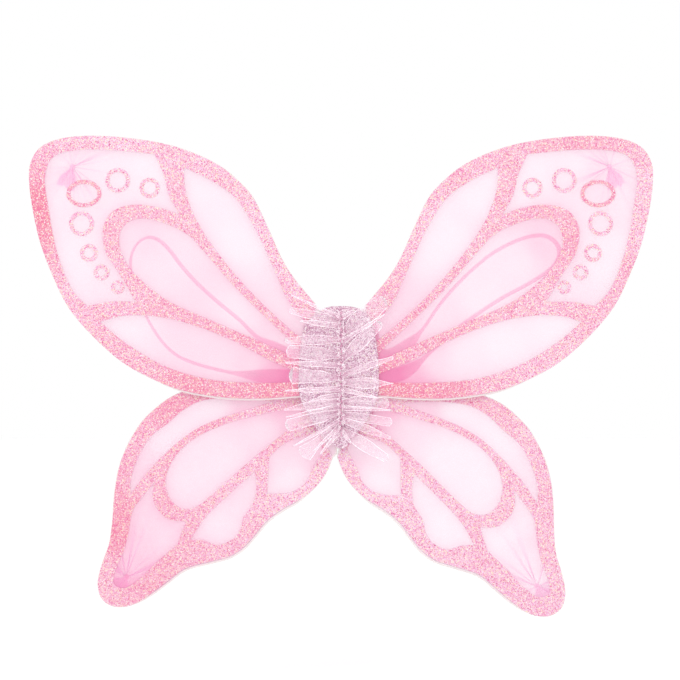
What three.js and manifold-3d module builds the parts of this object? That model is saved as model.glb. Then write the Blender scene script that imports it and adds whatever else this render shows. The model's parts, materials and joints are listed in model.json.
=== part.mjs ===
// Butterfly costume wings: four wire hoops in mesh sleeves with a glitter print, bound together between
// a glitter front panel and a back pad, with a tulle ruffle in front and two elastic arm loops behind.
// Millimetres, +X to the right as seen from behind the wearer, +Y towards the wearer, +Z up.
// The origin is the middle of the back pad's rear face, where it lies against the wearer.

import * as THREE from "three";
import { mergeVertices } from "three/addons/utils/BufferGeometryUtils.js";
import Module from "manifold-3d";

const wasm = await Module();
wasm.setup();

// Driving dimensions.
const WING_SCALE = 1; // size of the wing outlines and their print
const WIRE_RADIUS = 1.0;
const SLEEVE_WALL = 0.4;
const SLEEVE_PLAY = 0.5; // between wire and sleeve
const PRINT_THICKNESS = 0.3;
const PRINT_PLAY = 0.1; // between sleeve and print
const UPPER_PRINT_INSET = 0.8; // from the sleeve's edge to the print's
const LOWER_PRINT_INSET = 2.0;
const RING_WIDTH = 3.1;
const PAD_THICKNESS = 3.0;
const PANEL_THICKNESS = 1.0;
const PANEL_HALF_WIDTH = 34;
const PANEL_TOP = 65;
const PANEL_BOTTOM = -54;
const FOLD_MARGIN = 3.5; // from the panel's side to the upper wings' fold lines
const FOLD_STAGGER = 4.5; // from the upper wings' fold lines out to the tops of the lower ones
const LOWER_SHIFT = -4.4; // the lower pair is bound a little off centre
const LOWER_RIGHT_DROOP = 3; // degrees that the lower right wing hangs below its mirror image
const STRAP_WIDTH = 11;
const STRAP_THICKNESS = 1.0;
const LAYER_GAP = 0.3; // between pieces that lie against each other
const WING_GAP = 1.0; // between the upper and the lower wings
const RUFFLE_REACH = 42; // from the gather line to the pleats' tips
const RUFFLE_DEPTH = 12;
const THREAD_WIDTH = 1.6;
const TAPE_THICKNESS = 0.6;
const SEAM_WIDTH = 18;
const WIRE_SPREAD = 3.5; // from a pair's middle to each wire in the binding

// The layers, from the wearer outwards. Each value is a Y of a middle plane or a rear face.
const SLEEVE_HALF = WIRE_RADIUS + SLEEVE_PLAY + SLEEVE_WALL;
const WING_FRONT = SLEEVE_HALF + PRINT_PLAY + PRINT_THICKNESS;
const TAB_Y = -PAD_THICKNESS - LAYER_GAP - STRAP_THICKNESS / 2;
const LOWER_Y = TAB_Y - STRAP_THICKNESS / 2 - LAYER_GAP - SLEEVE_HALF;
const UPPER_Y = LOWER_Y - WING_FRONT - WING_GAP - SLEEVE_HALF;
const PANEL_Y = UPPER_Y - WING_FRONT - LAYER_GAP;
const RUFFLE_Y = PANEL_Y - PANEL_THICKNESS - LAYER_GAP;

const WIRE_SIDES = 6;
const RING_POINTS = 15;
const EDGE_STEP = 11; // spacing of the points along an outline
const TAIL_STEP = 8; // the same along the lower wings, whose tails turn more sharply
const CUT_SIZE = 400; // larger than the whole object

const COLOURS = {
  wire: { color: 0xf6f0f2, roughness: 0.35, metalness: 0.0 },
  sleeve: { color: 0xfbe3f0, roughness: 0.8, metalness: 0.0 },
  print: { color: 0xf2a0b4, roughness: 0.45, metalness: 0.2 },
  panel: { color: 0xcdb3c4, roughness: 0.5, metalness: 0.3 },
  pad: { color: 0xf3c4d6, roughness: 0.95, metalness: 0.0 },
  tulle: { color: 0xf4cfe0, roughness: 0.7, metalness: 0.0 },
  thread: { color: 0xd98fae, roughness: 0.8, metalness: 0.0 },
  tape: { color: 0xf7e9ee, roughness: 0.6, metalness: 0.0 },
  elastic: { color: 0xf59ac0, roughness: 0.85, metalness: 0.0 },
};

// ---- Outlines, in wing coordinates: distance from the centre line, then height ----

// The edge of the upper sleeve, from the root's top round the tip to the root's bottom.
const UPPER_EDGE = [
  [20, 63], [28, 72.5], [37, 83.5], [46.5, 98.5], [58, 124], [71, 150], [82.5, 162.5], [98.5, 175],
  [128, 188], [160, 195], [203, 198], [229, 194.5], [242, 187.5], [249, 175], [249.5, 158],
  [246, 134], [240.5, 111], [231, 86], [218, 60], [196, 34.5], [173, 15], [150, 2.5], [128, -7],
  [106, -11.5], [84, -13.8], [62, -13.8], [39, -12.2], [22, -10.5],
];

// The edge of the lower sleeve, from the root's top round the tail to the root's bottom.
const LOWER_EDGE = [
  [28, -9], [42, -5], [62, -1.5], [85, -0.5], [106, -2.5], [122, -6.5], [134, -12], [144, -19.5], [154.5, -29.5],
  [163, -42], [170, -56], [175, -72], [178, -92], [179.5, -112], [182, -129], [187, -143], [191, -160],
  [188.5, -172], [181, -178.5], [171, -180], [159, -177], [146, -170], [133, -160.5], [120, -151],
  [98.5, -145], [84, -141], [73, -134], [64, -124.5], [54, -112.5], [43, -104], [30, -96.5],
  [19, -87], [11.5, -79], [6, -70], [2, -60],
];

// The clear windows of the print. Each is a ring of smooth stretches that meet at corners.
const UPPER_WINDOWS = [
  [
    [[149, 183], [186, 186.5], [214, 186], [230, 181], [236.5, 167], [234, 140], [226, 101], [214, 73], [203, 61.5]],
    [[203, 61.5], [184, 65], [164, 65]],
    [[164, 65], [178, 88.5], [188.5, 106], [190, 125], [182, 137.5], [165, 142.5], [145, 140], [129, 134.5]],
    [[129, 134.5], [137.5, 150], [142, 167], [149, 183]],
  ],
  [
    [[125.5, 172.5], [124.5, 155], [116, 131], [95.5, 100], [68, 68.5], [43, 45], [28, 33]],
    [[28, 33], [26, 46]],
    [[26, 46], [42, 65.5], [54, 92], [68, 122], [85, 148.5], [104, 162], [125.5, 172.5]],
  ],
  [
    [[30, 24], [57, 49.5], [85, 77], [109, 104.5], [123, 119], [150, 130.5], [165, 131], [174.5, 124.5],
      [177.5, 112], [172, 96.5], [158, 80.5], [137, 65], [99, 48], [55.5, 29], [30, 17]],
    [[30, 17], [30, 24]],
  ],
  [
    [[192.5, 49], [176, 53.5], [154, 54], [125, 48.5], [90, 35.5], [56, 18], [30, 7]],
    [[30, 7], [30, 1]],
    [[30, 1], [64, 0], [106, 3], [142, 14], [175, 34], [192.5, 49]],
  ],
];

const LOWER_WINDOWS = [
  [
    [[50, -15], [80, -12], [106, -14], [121, -21], [134, -32], [148, -43], [156, -55], [162, -69], [164.5, -81], [164, -89]],
    [[164, -89], [151, -72], [128, -49], [113, -38], [98, -30.5], [82, -25], [67, -20.5], [50, -15]],
  ],
  [
    [[28, -19], [59, -25], [90, -33.5], [116, -46.5], [131, -63], [136, -78], [133, -92], [124, -100.5],
      [113, -100], [100.5, -91], [76, -69], [52, -49], [28, -30]],
    [[28, -30], [28, -19]],
  ],
  [
    [[145, -79.5], [156, -92.5], [162.5, -102.5], [166, -120], [170, -135], [177, -152], [177.5, -161],
      [170, -164.5], [158, -158], [143.5, -144], [126.5, -129.5]],
    [[126.5, -129.5], [123.5, -121], [119.5, -111]],
    [[119.5, -111], [134, -109], [144, -99], [146.5, -89], [145, -79.5]],
  ],
  [
    [[64.5, -70.5], [87, -90.5], [105, -108.5], [116, -125.5]],
    [[116, -125.5], [107, -126], [94, -130], [82, -125], [76, -117], [74, -108.5], [65.5, -95.5], [63.5, -83], [64.5, -70.5]],
  ],
  [
    [[53, -59], [54, -73.5], [55, -89]],
    [[55, -89], [35, -87.5], [24, -80], [17, -66], [10, -55]],
    [[10, -55], [14, -40]],
    [[14, -40], [36, -46], [44, -50.5], [53, -59]],
  ],
];

// The printed rings in the upper wing's tip: middle, then half width and half height.
const RINGS = [
  [205.5, 151.5, 14.0, 10.9],
  [178.5, 162, 9.8, 9.8],
  [153, 156, 8.1, 8.1],
  [207.5, 127.5, 9.9, 9.9],
  [201.5, 104, 7.1, 7.1],
  [191.5, 88.5, 6.3, 6.3],
  [178.5, 76.5, 5.4, 5.4],
];

// Where each sleeve's end is drawn together and tied.
const UPPER_KNOT = [215, 173];
const LOWER_KNOT = [168, -156];
const KNOT_RADIUS = 4;

// The points that the wings grow from.
const UPPER_ROOT = [PANEL_HALF_WIDTH + FOLD_MARGIN, 25];
const LOWER_ROOT = [22, -8];

// How each wire runs inside the centre, between its two crossings of the fold line.
const UPPER_ROUTE = [[28, 71], [20, 61], [11, 50], [WIRE_SPREAD, 34], [WIRE_SPREAD, 16], [WIRE_SPREAD, 6], [WIRE_SPREAD, -3], [9, -11], [24, -11.5]];
const LOWER_ROUTE = [[30, -6], [19, 2], [11, 9], [6, 11], [WIRE_SPREAD, 7], [WIRE_SPREAD, 0], [WIRE_SPREAD, -14], [WIRE_SPREAD, -40], [4.5, -56]];

// The lower wings' fold lines run from beside the panel to below its point. Their tops lie further out
// than the upper wings' lines, so that a folded lower wing stays behind the upper one.
const LOWER_FOLD_TOP = [PANEL_HALF_WIDTH + FOLD_MARGIN + FOLD_STAGGER, -14];
const LOWER_FOLD_BOTTOM = [6, -66];

// ---- Outline tools ----

const vec = ([x, y]) => new THREE.Vector2(x, y);

// Points along a smooth curve through the given ones, about step apart.
function smooth(points, step = EDGE_STEP) {
  const curve = new THREE.CatmullRomCurve3(
    points.map(([x, y]) => new THREE.Vector3(x, y, 0)), false, "centripetal");
  const count = Math.max(2, Math.round(curve.getLength() / step));
  return curve.getSpacedPoints(count).map((p) => new THREE.Vector2(p.x, p.y));
}

// Points of a wing's outline at the wing's size, which grows from its root.
const scaled = (points, [rootX, rootY]) => points.map(([x, y]) => [
  rootX + (x - rootX) * WING_SCALE, rootY + (y - rootY) * WING_SCALE]);

// An open run of points moved sideways: positive to the left of its direction.
function offset(points, distance) {
  return points.map((p, i) => {
    const before = points[Math.max(i - 1, 0)];
    const after = points[Math.min(i + 1, points.length - 1)];
    const along = after.clone().sub(before).normalize();
    return new THREE.Vector2(p.x - along.y * distance, p.y + along.x * distance);
  });
}

// A closed outline from smooth stretches that meet at corners.
function windowOutline(stretches, root) {
  return stretches.flatMap((s) => smooth(scaled(s, root)).slice(0, -1));
}

// ---- Solids ----

// A flat plate in the XZ plane, from its rear face at y forwards (-Y) by its thickness.
function plate(outline, y, thickness) {
  const shape = new THREE.Shape(outline);
  const geometry = new THREE.ExtrudeGeometry(shape, { depth: thickness, bevelEnabled: false });
  geometry.rotateX(Math.PI / 2);
  geometry.translate(0, y, 0);
  return geometry;
}

function toSolid(geometry) {
  const bare = new THREE.BufferGeometry();
  const flat = geometry.index ? geometry.toNonIndexed() : geometry;
  bare.setAttribute("position", flat.getAttribute("position"));
  const merged = mergeVertices(bare, 1e-4);
  return new wasm.Manifold(new wasm.Mesh({
    numProp: 3,
    vertProperties: merged.attributes.position.array,
    triVerts: new Uint32Array(merged.index.array),
  }));
}

// A block that cuts an outline right through the print at y.
const cutter = (outline, y) => toSolid(plate(outline, y + LAYER_GAP, PRINT_THICKNESS + 2 * LAYER_GAP));

function toGeometry(solid) {
  const mesh = solid.getMesh();
  const position = new Float32Array(mesh.numVert * 3);
  for (let i = 0; i < mesh.numVert; i++) {
    position.set(mesh.vertProperties.subarray(i * mesh.numProp, i * mesh.numProp + 3), i * 3);
  }
  const geometry = new THREE.BufferGeometry();
  geometry.setAttribute("position", new THREE.BufferAttribute(position, 3));
  geometry.setIndex(new THREE.BufferAttribute(new Uint32Array(mesh.triVerts), 1));
  return geometry;
}

// A round wire along points, with a ball at each end that asks for one.
function wire(points, y, ballAtStart, ballAtEnd) {
  const path = new THREE.CatmullRomCurve3(
    points.map((p) => new THREE.Vector3(p.x, y, p.y)), false, "centripetal");
  const section = new THREE.Shape();
  section.absarc(0, 0, WIRE_RADIUS, 0, 2 * Math.PI);
  const steps = Math.round(path.getLength() / TAIL_STEP);
  const tube = new THREE.ExtrudeGeometry(
    section, { extrudePath: path, steps, curveSegments: WIRE_SIDES / 2, bevelEnabled: false });
  let solid = toSolid(tube);
  const ends = [ballAtStart && points[0], ballAtEnd && points[points.length - 1]].filter(Boolean);
  for (const end of ends) {
    const ball = new THREE.SphereGeometry(WIRE_RADIUS, WIRE_SIDES, WIRE_SIDES / 2);
    ball.translate(end.x, y, end.y);
    solid = solid.add(toSolid(ball));
  }
  return toGeometry(solid);
}

// A flat strap through stations, each with its middle, the direction of its width and that of its thickness.
function strap(stations) {
  const half = [[-1, -1], [1, -1], [1, 1], [-1, 1]];
  const position = [];
  for (const { middle, across, through } of stations) {
    for (const [a, t] of half) {
      const corner = middle.clone()
        .addScaledVector(across, (a * STRAP_WIDTH) / 2)
        .addScaledVector(through, (t * STRAP_THICKNESS) / 2);
      position.push(corner.x, corner.y, corner.z);
    }
  }
  const index = [0, 2, 1, 0, 3, 2];
  for (let i = 0; i < stations.length - 1; i++) {
    for (let k = 0; k < 4; k++) {
      const a = 4 * i + k;
      const b = 4 * i + ((k + 1) % 4);
      index.push(a, b, b + 4, a, b + 4, a + 4);
    }
  }
  const last = 4 * (stations.length - 1);
  index.push(last, last + 1, last + 2, last, last + 2, last + 3);
  const geometry = new THREE.BufferGeometry();
  geometry.setAttribute("position", new THREE.Float32BufferAttribute(position, 3));
  geometry.setIndex(index);
  return geometry;
}

// ---- Scene graph ----

const wings = new THREE.Group();
const materials = Object.fromEntries(
  Object.entries(COLOURS).map(([name, look]) => [name, new THREE.MeshStandardMaterial(look)]));

function body(name) {
  const group = new THREE.Group();
  group.name = name;
  wings.add(group);
  return group;
}

function piece(group, name, geometry, material) {
  const mesh = new THREE.Mesh(geometry, materials[material]);
  mesh.name = name;
  group.add(mesh);
  return mesh;
}

const SIDES = [["left", -1], ["right", 1]];
const centre = body("centre");

// ---- Wings ----

// Carries a point of a wing's outline to its place on that side.
function placing(kind, side) {
  if (kind === "upper") return (p) => new THREE.Vector2(side * p.x, p.y);
  const droop = side > 0 ? -THREE.MathUtils.degToRad(LOWER_RIGHT_DROOP) : 0;
  const pivot = new THREE.Vector2(24, -42);
  return (p) => {
    const turned = p.clone().rotateAround(pivot, droop);
    return new THREE.Vector2(side * turned.x + LOWER_SHIFT, turned.y);
  };
}

// A wing's fold line on one side, as a point and a direction with the wing on its outer side.
function foldLine(kind, side) {
  if (kind === "upper") {
    return { point: new THREE.Vector2(side * (PANEL_HALF_WIDTH + FOLD_MARGIN), 0), along: new THREE.Vector2(0, 1) };
  }
  const top = new THREE.Vector2(side * LOWER_FOLD_TOP[0], LOWER_FOLD_TOP[1]);
  const bottom = new THREE.Vector2(side * LOWER_FOLD_BOTTOM[0] + LOWER_SHIFT, LOWER_FOLD_BOTTOM[1]);
  return { point: top, along: top.clone().sub(bottom).normalize() };
}

// How far a point lies outside the fold line.
function outside(fold, side, p) {
  const out = new THREE.Vector2(fold.along.y, -fold.along.x).multiplyScalar(side);
  return p.clone().sub(fold.point).dot(out);
}

// Everything nearer the centre than clear outside the fold line.
function inboardBlock(fold, side, clear) {
  const out = new THREE.Vector2(fold.along.y, -fold.along.x).multiplyScalar(side);
  const near = fold.point.clone().addScaledVector(out, clear);
  const far = near.clone().addScaledVector(out, -CUT_SIZE);
  const reach = fold.along.clone().multiplyScalar(CUT_SIZE);
  const corners = [near.clone().add(reach), near.clone().sub(reach), far.clone().sub(reach), far.clone().add(reach)];
  return toSolid(plate(corners, CUT_SIZE / 2, CUT_SIZE));
}

// Splits a run of points where it crosses the fold line: the outer stretch, with the crossings as its ends.
function outerRun(points, fold, side) {
  const depth = points.map((p) => outside(fold, side, p));
  const crossing = (i) => points[i].clone().lerp(points[i + 1], depth[i] / (depth[i] - depth[i + 1]));
  const first = depth.findIndex((d, i) => d <= 0 && depth[i + 1] > 0);
  const last = depth.findIndex((d, i) => i > first && d > 0 && depth[i + 1] <= 0);
  return [crossing(first), ...points.slice(first + 1, last + 1), crossing(last)];
}

const SLEEVE_CLEAR = 1.5; // from the fold line to the sleeve and the print
const STUB_CLEAR = WIRE_RADIUS + LAYER_GAP; // from the fold line to the wire's inner stretch

const WINGS = {
  upper: { edge: UPPER_EDGE, windows: UPPER_WINDOWS, route: UPPER_ROUTE, knot: UPPER_KNOT, root: UPPER_ROOT,
    y: UPPER_Y, inset: UPPER_PRINT_INSET, step: EDGE_STEP },
  lower: { edge: LOWER_EDGE, windows: LOWER_WINDOWS, route: LOWER_ROUTE, knot: LOWER_KNOT, root: LOWER_ROOT,
    y: LOWER_Y, inset: LOWER_PRINT_INSET, step: TAIL_STEP },
};

function makeWing(kind, sideName, side) {
  const { edge, windows, route, knot, root, y, inset, step } = WINGS[kind];
  const name = `${kind}_${sideName}`;
  const group = body(`${name}_wing`);
  const place = placing(kind, side);
  const fold = foldLine(kind, side);
  const inner = inboardBlock(fold, side, SLEEVE_CLEAR);
  const outline = smooth(scaled(edge, root), step);

  // The wire hoop ends in a ball on the fold line at each crossing, where it bends.
  const hoop = outerRun(offset(outline, -SLEEVE_HALF).map(place), fold, side);
  piece(group, `${name}_wire`, wire(hoop, y, true, true), "wire");

  // Its two ends go on between panel and pad as one smooth bend, held by the binding tape.
  const shift = kind === "lower" ? LOWER_SHIFT : 0;
  const inside = route.map(([u, z]) => new THREE.Vector2(side * u + shift, z));
  const stubStart = towards(hoop[0], inside[0], STUB_CLEAR);
  const stubEnd = towards(hoop[hoop.length - 1], inside[inside.length - 1], STUB_CLEAR);
  piece(centre, `${name}_wire_root`, wire([stubStart, ...inside, stubEnd], y, false, false), "wire");

  // The sleeve is a flat bag round the hoop, open towards the centre.
  const bag = toSolid(plate(outline.map(place), y + SLEEVE_HALF, 2 * SLEEVE_HALF));
  const room = SLEEVE_HALF - SLEEVE_WALL;
  const hollow = toSolid(plate(offset(outline, -SLEEVE_WALL).map(place), y + room, 2 * room));
  piece(group, `${name}_mesh`, toGeometry(bag.subtract(hollow).subtract(inner)), "sleeve");

  // The print lies on the sleeve's front.
  const printY = y - SLEEVE_HALF - PRINT_PLAY;
  let print = toSolid(plate(offset(outline, -inset).map(place), printY, PRINT_THICKNESS)).subtract(inner);
  for (const w of windows) print = print.subtract(cutter(windowOutline(w, root).map(place), printY));
  piece(group, `${name}_print`, toGeometry(print), "print");

  // The knot that closes the sleeve sits on its rear face.
  const at = place(vec(scaled([knot], root)[0]));
  const tie = new THREE.SphereGeometry(KNOT_RADIUS, 10, 6);
  const lump = piece(group, `${name}_tip_knot`, tie, "thread");
  lump.scale.set(1, 0.45, 1);
  lump.position.set(at.x, y + SLEEVE_HALF + LAYER_GAP + KNOT_RADIUS * 0.45, at.y);
  return { group, place, printY };
}

// The point that lies clear of a towards b.
function towards(a, b, clear) {
  return a.clone().add(b.clone().sub(a).setLength(clear));
}

function makeRings(sideName, { group, place, printY }) {
  RINGS.forEach(([u, z, halfWidth, halfHeight], i) => {
    const [x, y] = scaled([[u, z]], UPPER_ROOT)[0];
    const oval = (less) => new THREE.EllipseCurve(
      x, y, halfWidth * WING_SCALE - less, halfHeight * WING_SCALE - less).getPoints(RING_POINTS).slice(0, -1).map(place);
    const disc = toSolid(plate(oval(0), printY, PRINT_THICKNESS));
    piece(group, `upper_${sideName}_ring_${i + 1}`, toGeometry(disc.subtract(cutter(oval(RING_WIDTH), printY))), "print");
  });
}

for (const [sideName, side] of SIDES) {
  makeRings(sideName, makeWing("upper", sideName, side));
  makeWing("lower", sideName, side);
}

// ---- Centre: panel, pad, seams and binding ----

// The shield shape of the panel and the pad, drawn in from the full size by less.
function shield(less) {
  const w = PANEL_HALF_WIDTH - less;
  const right = [
    [0, PANEL_TOP - less], [12, PANEL_TOP - 1 - less], [21, PANEL_TOP - 6 - less], [w - 5, 47], [w - 2, 32],
    [w, 8], [w - 1, -11], [w - 7, -24], [w - 14, -36], [w - 23, -46], [4, PANEL_BOTTOM + 1.5 + less], [0, PANEL_BOTTOM + less],
  ];
  const half = smooth(right);
  const mirrored = half.slice(1, -1).reverse().map((p) => new THREE.Vector2(-p.x, p.y));
  return [...half, ...mirrored];
}

piece(centre, "back_pad", plate(shield(0), 0, PAD_THICKNESS), "pad");
piece(centre, "front_panel", plate(shield(0), PANEL_Y, PANEL_THICKNESS), "panel");

// Tape over the top of the sandwich, where the panel and the pad are sewn to each other.
const seamDepth = -PANEL_Y + PANEL_THICKNESS;
const seam = piece(centre, "top_seam_tape", new THREE.BoxGeometry(SEAM_WIDTH, seamDepth, TAPE_THICKNESS), "pad");
seam.position.set(0, -seamDepth / 2, PANEL_TOP + LAYER_GAP + TAPE_THICKNESS / 2);

// A wrap of tape round parallel wires: its opening clears them.
function binding(name, fromX, toX, frontY, rearY, fromZ, toZ) {
  const clear = WIRE_RADIUS + LAYER_GAP;
  const rectangle = (grow) => [
    [fromX - grow, frontY - grow], [toX + grow, frontY - grow], [toX + grow, rearY + grow], [fromX - grow, rearY + grow],
  ].map(vec);
  const shape = new THREE.Shape(rectangle(clear + TAPE_THICKNESS));
  shape.holes.push(new THREE.Path(rectangle(clear)));
  const geometry = new THREE.ExtrudeGeometry(shape, { depth: toZ - fromZ, bevelEnabled: false });
  piece(centre, name, geometry, "tape").position.z = fromZ;
}
const lowerLeftX = LOWER_SHIFT - WIRE_SPREAD;
const lowerRightX = LOWER_SHIFT + WIRE_SPREAD;
binding("upper_binding_tape", -WIRE_SPREAD, WIRE_SPREAD, UPPER_Y, UPPER_Y, 15, 27);
binding("middle_binding_tape", lowerLeftX - LAYER_GAP, WIRE_SPREAD + LAYER_GAP, UPPER_Y, LOWER_Y, -1, 4);
binding("lower_binding_tape", lowerLeftX, lowerRightX, LOWER_Y, LOWER_Y, -36, -24);

// ---- Ruffle ----

const PLEATS = 12;
const PLEAT_ROOT = 5; // half height of a pleat at the gather line
const PLEAT_TIP = 1.2;

// One pleat: a tapered tongue from the gather line outwards, rising by lift degrees.
function pleat(side, z, lift, reach, y, thickness) {
  const turn = THREE.MathUtils.degToRad(lift);
  const along = new THREE.Vector2(Math.cos(turn), Math.sin(turn));
  const up = new THREE.Vector2(-along.y, along.x);
  const corners = [[1, PLEAT_ROOT], [reach, PLEAT_TIP], [reach, -PLEAT_TIP], [1, -PLEAT_ROOT]].map(([a, b]) => {
    const p = along.clone().multiplyScalar(a).addScaledVector(up, b);
    return new THREE.Vector2(side * Math.max(p.x, 0.8), p.y + z);
  });
  return toSolid(plate(corners, y, thickness));
}

function ruffle(sideName, side) {
  const spine = [[0.6, PANEL_TOP - 4], [3, PANEL_TOP - 4], [3, PANEL_BOTTOM + 6], [0.6, PANEL_BOTTOM + 6]];
  let solid = toSolid(plate(spine.map(([x, z]) => new THREE.Vector2(side * x, z)), RUFFLE_Y, RUFFLE_DEPTH / 3));
  for (let i = 0; i < PLEATS; i++) {
    const share = i / (PLEATS - 1); // 0 at the top, 1 at the bottom
    const z = THREE.MathUtils.lerp(PANEL_TOP - 10, PANEL_BOTTOM + 14, share);
    const lift = THREE.MathUtils.lerp(32, -34, share);
    const reach = RUFFLE_REACH / Math.cos(THREE.MathUtils.degToRad(lift) * 0.6);
    const level = RUFFLE_Y - (i % 2 ? 0 : RUFFLE_DEPTH / 4);
    solid = solid.add(pleat(side, z, lift, reach, level, RUFFLE_DEPTH / 3));
  }
  piece(centre, `ruffle_${sideName}`, toGeometry(solid), "tulle");
}
for (const [sideName, side] of SIDES) ruffle(sideName, side);

const threadLength = PANEL_TOP - PANEL_BOTTOM - 12;
const gather = piece(centre, "gather_thread", new THREE.BoxGeometry(THREAD_WIDTH, THREAD_WIDTH, threadLength), "thread");
gather.position.set(0, RUFFLE_Y - RUFFLE_DEPTH / 3 - LAYER_GAP - THREAD_WIDTH / 2, (PANEL_TOP + PANEL_BOTTOM) / 2);

// ---- Elastic arm loops ----

const STRAP_AXIS = PANEL_HALF_WIDTH + 1.2; // the loops swing on this line, just outside the pad
const STRAP_CLEAR = 0.3; // from that line to the loop
const TAB_CLEAR = 0.6; // and to its sewn tabs
const STRAP_START = STRAP_AXIS + STRAP_CLEAR;
const STRAP_LEAD = 3; // the straight first stretch of a loop
const STRAP_SEAMS = [21.5, 5]; // heights of the two sewn ends
const TAB_LENGTH = 13;
const STRAP_HANG_Y = -2.6; // the middle of the strap where it stands on edge
const LOOP_STEP = 8;

// The loops' middle lines, from the upper sewn end round to the lower one.
const LOOPS = {
  left: [
    [STRAP_START, STRAP_SEAMS[0]], [STRAP_START + STRAP_LEAD, STRAP_SEAMS[0]], [50, 26], [67, 36.5], [82, 51], [99, 65], [116.5, 81], [128.5, 94.5], [138, 107], [147, 115],
    [155, 117], [163, 112.5], [168.5, 102], [168.5, 88], [164.5, 72], [158, 56.5], [151, 43.5],
    [142, 31], [131, 21.5], [117, 15.5], [101, 11], [84, 7.5], [64, 5.5], [50, 5.5], [STRAP_START + STRAP_LEAD, STRAP_SEAMS[1]], [STRAP_START, STRAP_SEAMS[1]],
  ],
  right: [
    [STRAP_START, STRAP_SEAMS[0]], [STRAP_START + STRAP_LEAD, STRAP_SEAMS[0]], [50, 27.5], [64, 41], [78, 61], [90, 75.5], [104, 89.5], [121, 103.5], [138.5, 113], [152, 117.5],
    [164, 118], [173, 112], [175.5, 103], [170, 93], [152, 80.5], [130, 68.5], [112, 57],
    [90, 41], [72.5, 25.5], [60, 14], [49, 7.5], [STRAP_START + STRAP_LEAD, STRAP_SEAMS[1]], [STRAP_START, STRAP_SEAMS[1]],
  ],
};

// The stretches in which the strap turns from flat to on edge and back: stations to wait, then to turn in.
const TWISTS = {
  left: { wait: 1, turn: 4, backWait: 2, backTurn: 5 },
  right: { wait: 1, turn: 4, backWait: 1, backTurn: 4 },
};

function armLoop(sideName, side) {
  const group = body(`${sideName}_strap`);
  const line = LOOPS[sideName];
  const curve = new THREE.CatmullRomCurve3(
    line.map(([u, z]) => new THREE.Vector3(side * u, 0, z)), false, "centripetal");
  const length = curve.getLength();
  const count = Math.round(length / LOOP_STEP);
  const { wait, turn, backWait, backTurn } = TWISTS[sideName];
  const stations = [];
  for (let i = 0; i <= count; i++) {
    const middle = curve.getPointAt(i / count);
    const tangent = curve.getTangentAt(i / count);
    // 0 where the strap lies flat, 1 where it stands on edge
    const rising = THREE.MathUtils.clamp((i - wait) / turn, 0, 1);
    const falling = THREE.MathUtils.clamp((count - i - backWait) / backTurn, 0, 1);
    const turned = Math.min(rising, falling);
    middle.y = THREE.MathUtils.lerp(TAB_Y, STRAP_HANG_Y, turned);
    const flat = new THREE.Vector3(0, 1, 0).cross(tangent).normalize();
    const angle = (turned * Math.PI) / 2;
    const across = flat.clone().multiplyScalar(Math.cos(angle)).add(new THREE.Vector3(0, Math.sin(angle), 0));
    const through = tangent.clone().cross(across).normalize();
    stations.push({ middle, across, through });
  }
  piece(group, `${sideName}_arm_loop`, strap(stations), "elastic");

  // The sewn ends, held between the pad and the lower wires.
  for (const [i, which] of ["upper", "lower"].entries()) {
    const tab = piece(centre, `${sideName}_strap_${which}_tab`,
      new THREE.BoxGeometry(TAB_LENGTH, STRAP_THICKNESS, STRAP_WIDTH), "elastic");
    tab.position.set(side * (STRAP_AXIS - TAB_CLEAR - TAB_LENGTH / 2), TAB_Y, STRAP_SEAMS[i]);
  }
}
for (const [sideName, side] of SIDES) armLoop(sideName, side);

export default wings;
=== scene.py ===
# %% [markdown]
# # Butterfly costume wings
# The wings are four wire hoops in stretched mesh sleeves. A pink glitter print lies on the sleeves, and the
# wires come together between a glitter panel in front and a soft pad behind. A gathered tulle ruffle covers
# the middle, and two elastic loops take the wearer's arms. The frame holds the measured bodies and joints;
# each finished piece here is laid over its solid there.

# %% Load the frame
import json
import math
import bpy
from mathutils import Matrix, Vector, kdtree, noise


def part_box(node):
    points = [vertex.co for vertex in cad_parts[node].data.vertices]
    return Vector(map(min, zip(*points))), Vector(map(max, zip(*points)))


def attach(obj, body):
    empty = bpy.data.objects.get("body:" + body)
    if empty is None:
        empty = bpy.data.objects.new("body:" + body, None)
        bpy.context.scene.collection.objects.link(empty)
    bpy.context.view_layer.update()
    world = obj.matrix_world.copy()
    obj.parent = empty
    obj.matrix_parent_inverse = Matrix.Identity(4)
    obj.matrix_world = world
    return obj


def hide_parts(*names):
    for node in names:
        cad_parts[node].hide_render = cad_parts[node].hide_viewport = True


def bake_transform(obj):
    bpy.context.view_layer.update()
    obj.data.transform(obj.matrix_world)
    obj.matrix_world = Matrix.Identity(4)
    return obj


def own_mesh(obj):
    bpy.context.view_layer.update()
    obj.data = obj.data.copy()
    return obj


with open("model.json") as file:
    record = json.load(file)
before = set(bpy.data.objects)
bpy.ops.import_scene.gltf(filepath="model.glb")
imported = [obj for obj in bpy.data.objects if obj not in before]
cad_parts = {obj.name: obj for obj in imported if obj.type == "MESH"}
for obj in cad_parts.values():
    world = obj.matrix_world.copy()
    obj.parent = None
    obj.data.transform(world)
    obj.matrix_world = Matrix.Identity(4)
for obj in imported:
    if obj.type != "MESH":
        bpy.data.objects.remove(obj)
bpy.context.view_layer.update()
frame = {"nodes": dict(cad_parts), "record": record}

MM = 0.001

# %% [markdown]
# ## Outlines
# A wing is a flat shape, so most of its pieces start as a smooth line through a few points. The points are
# given in millimetres as distance from the centre line and height, and one side is the mirror of the other.
# A centripetal spline is used because it goes through every point and never loops between two close ones.

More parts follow.
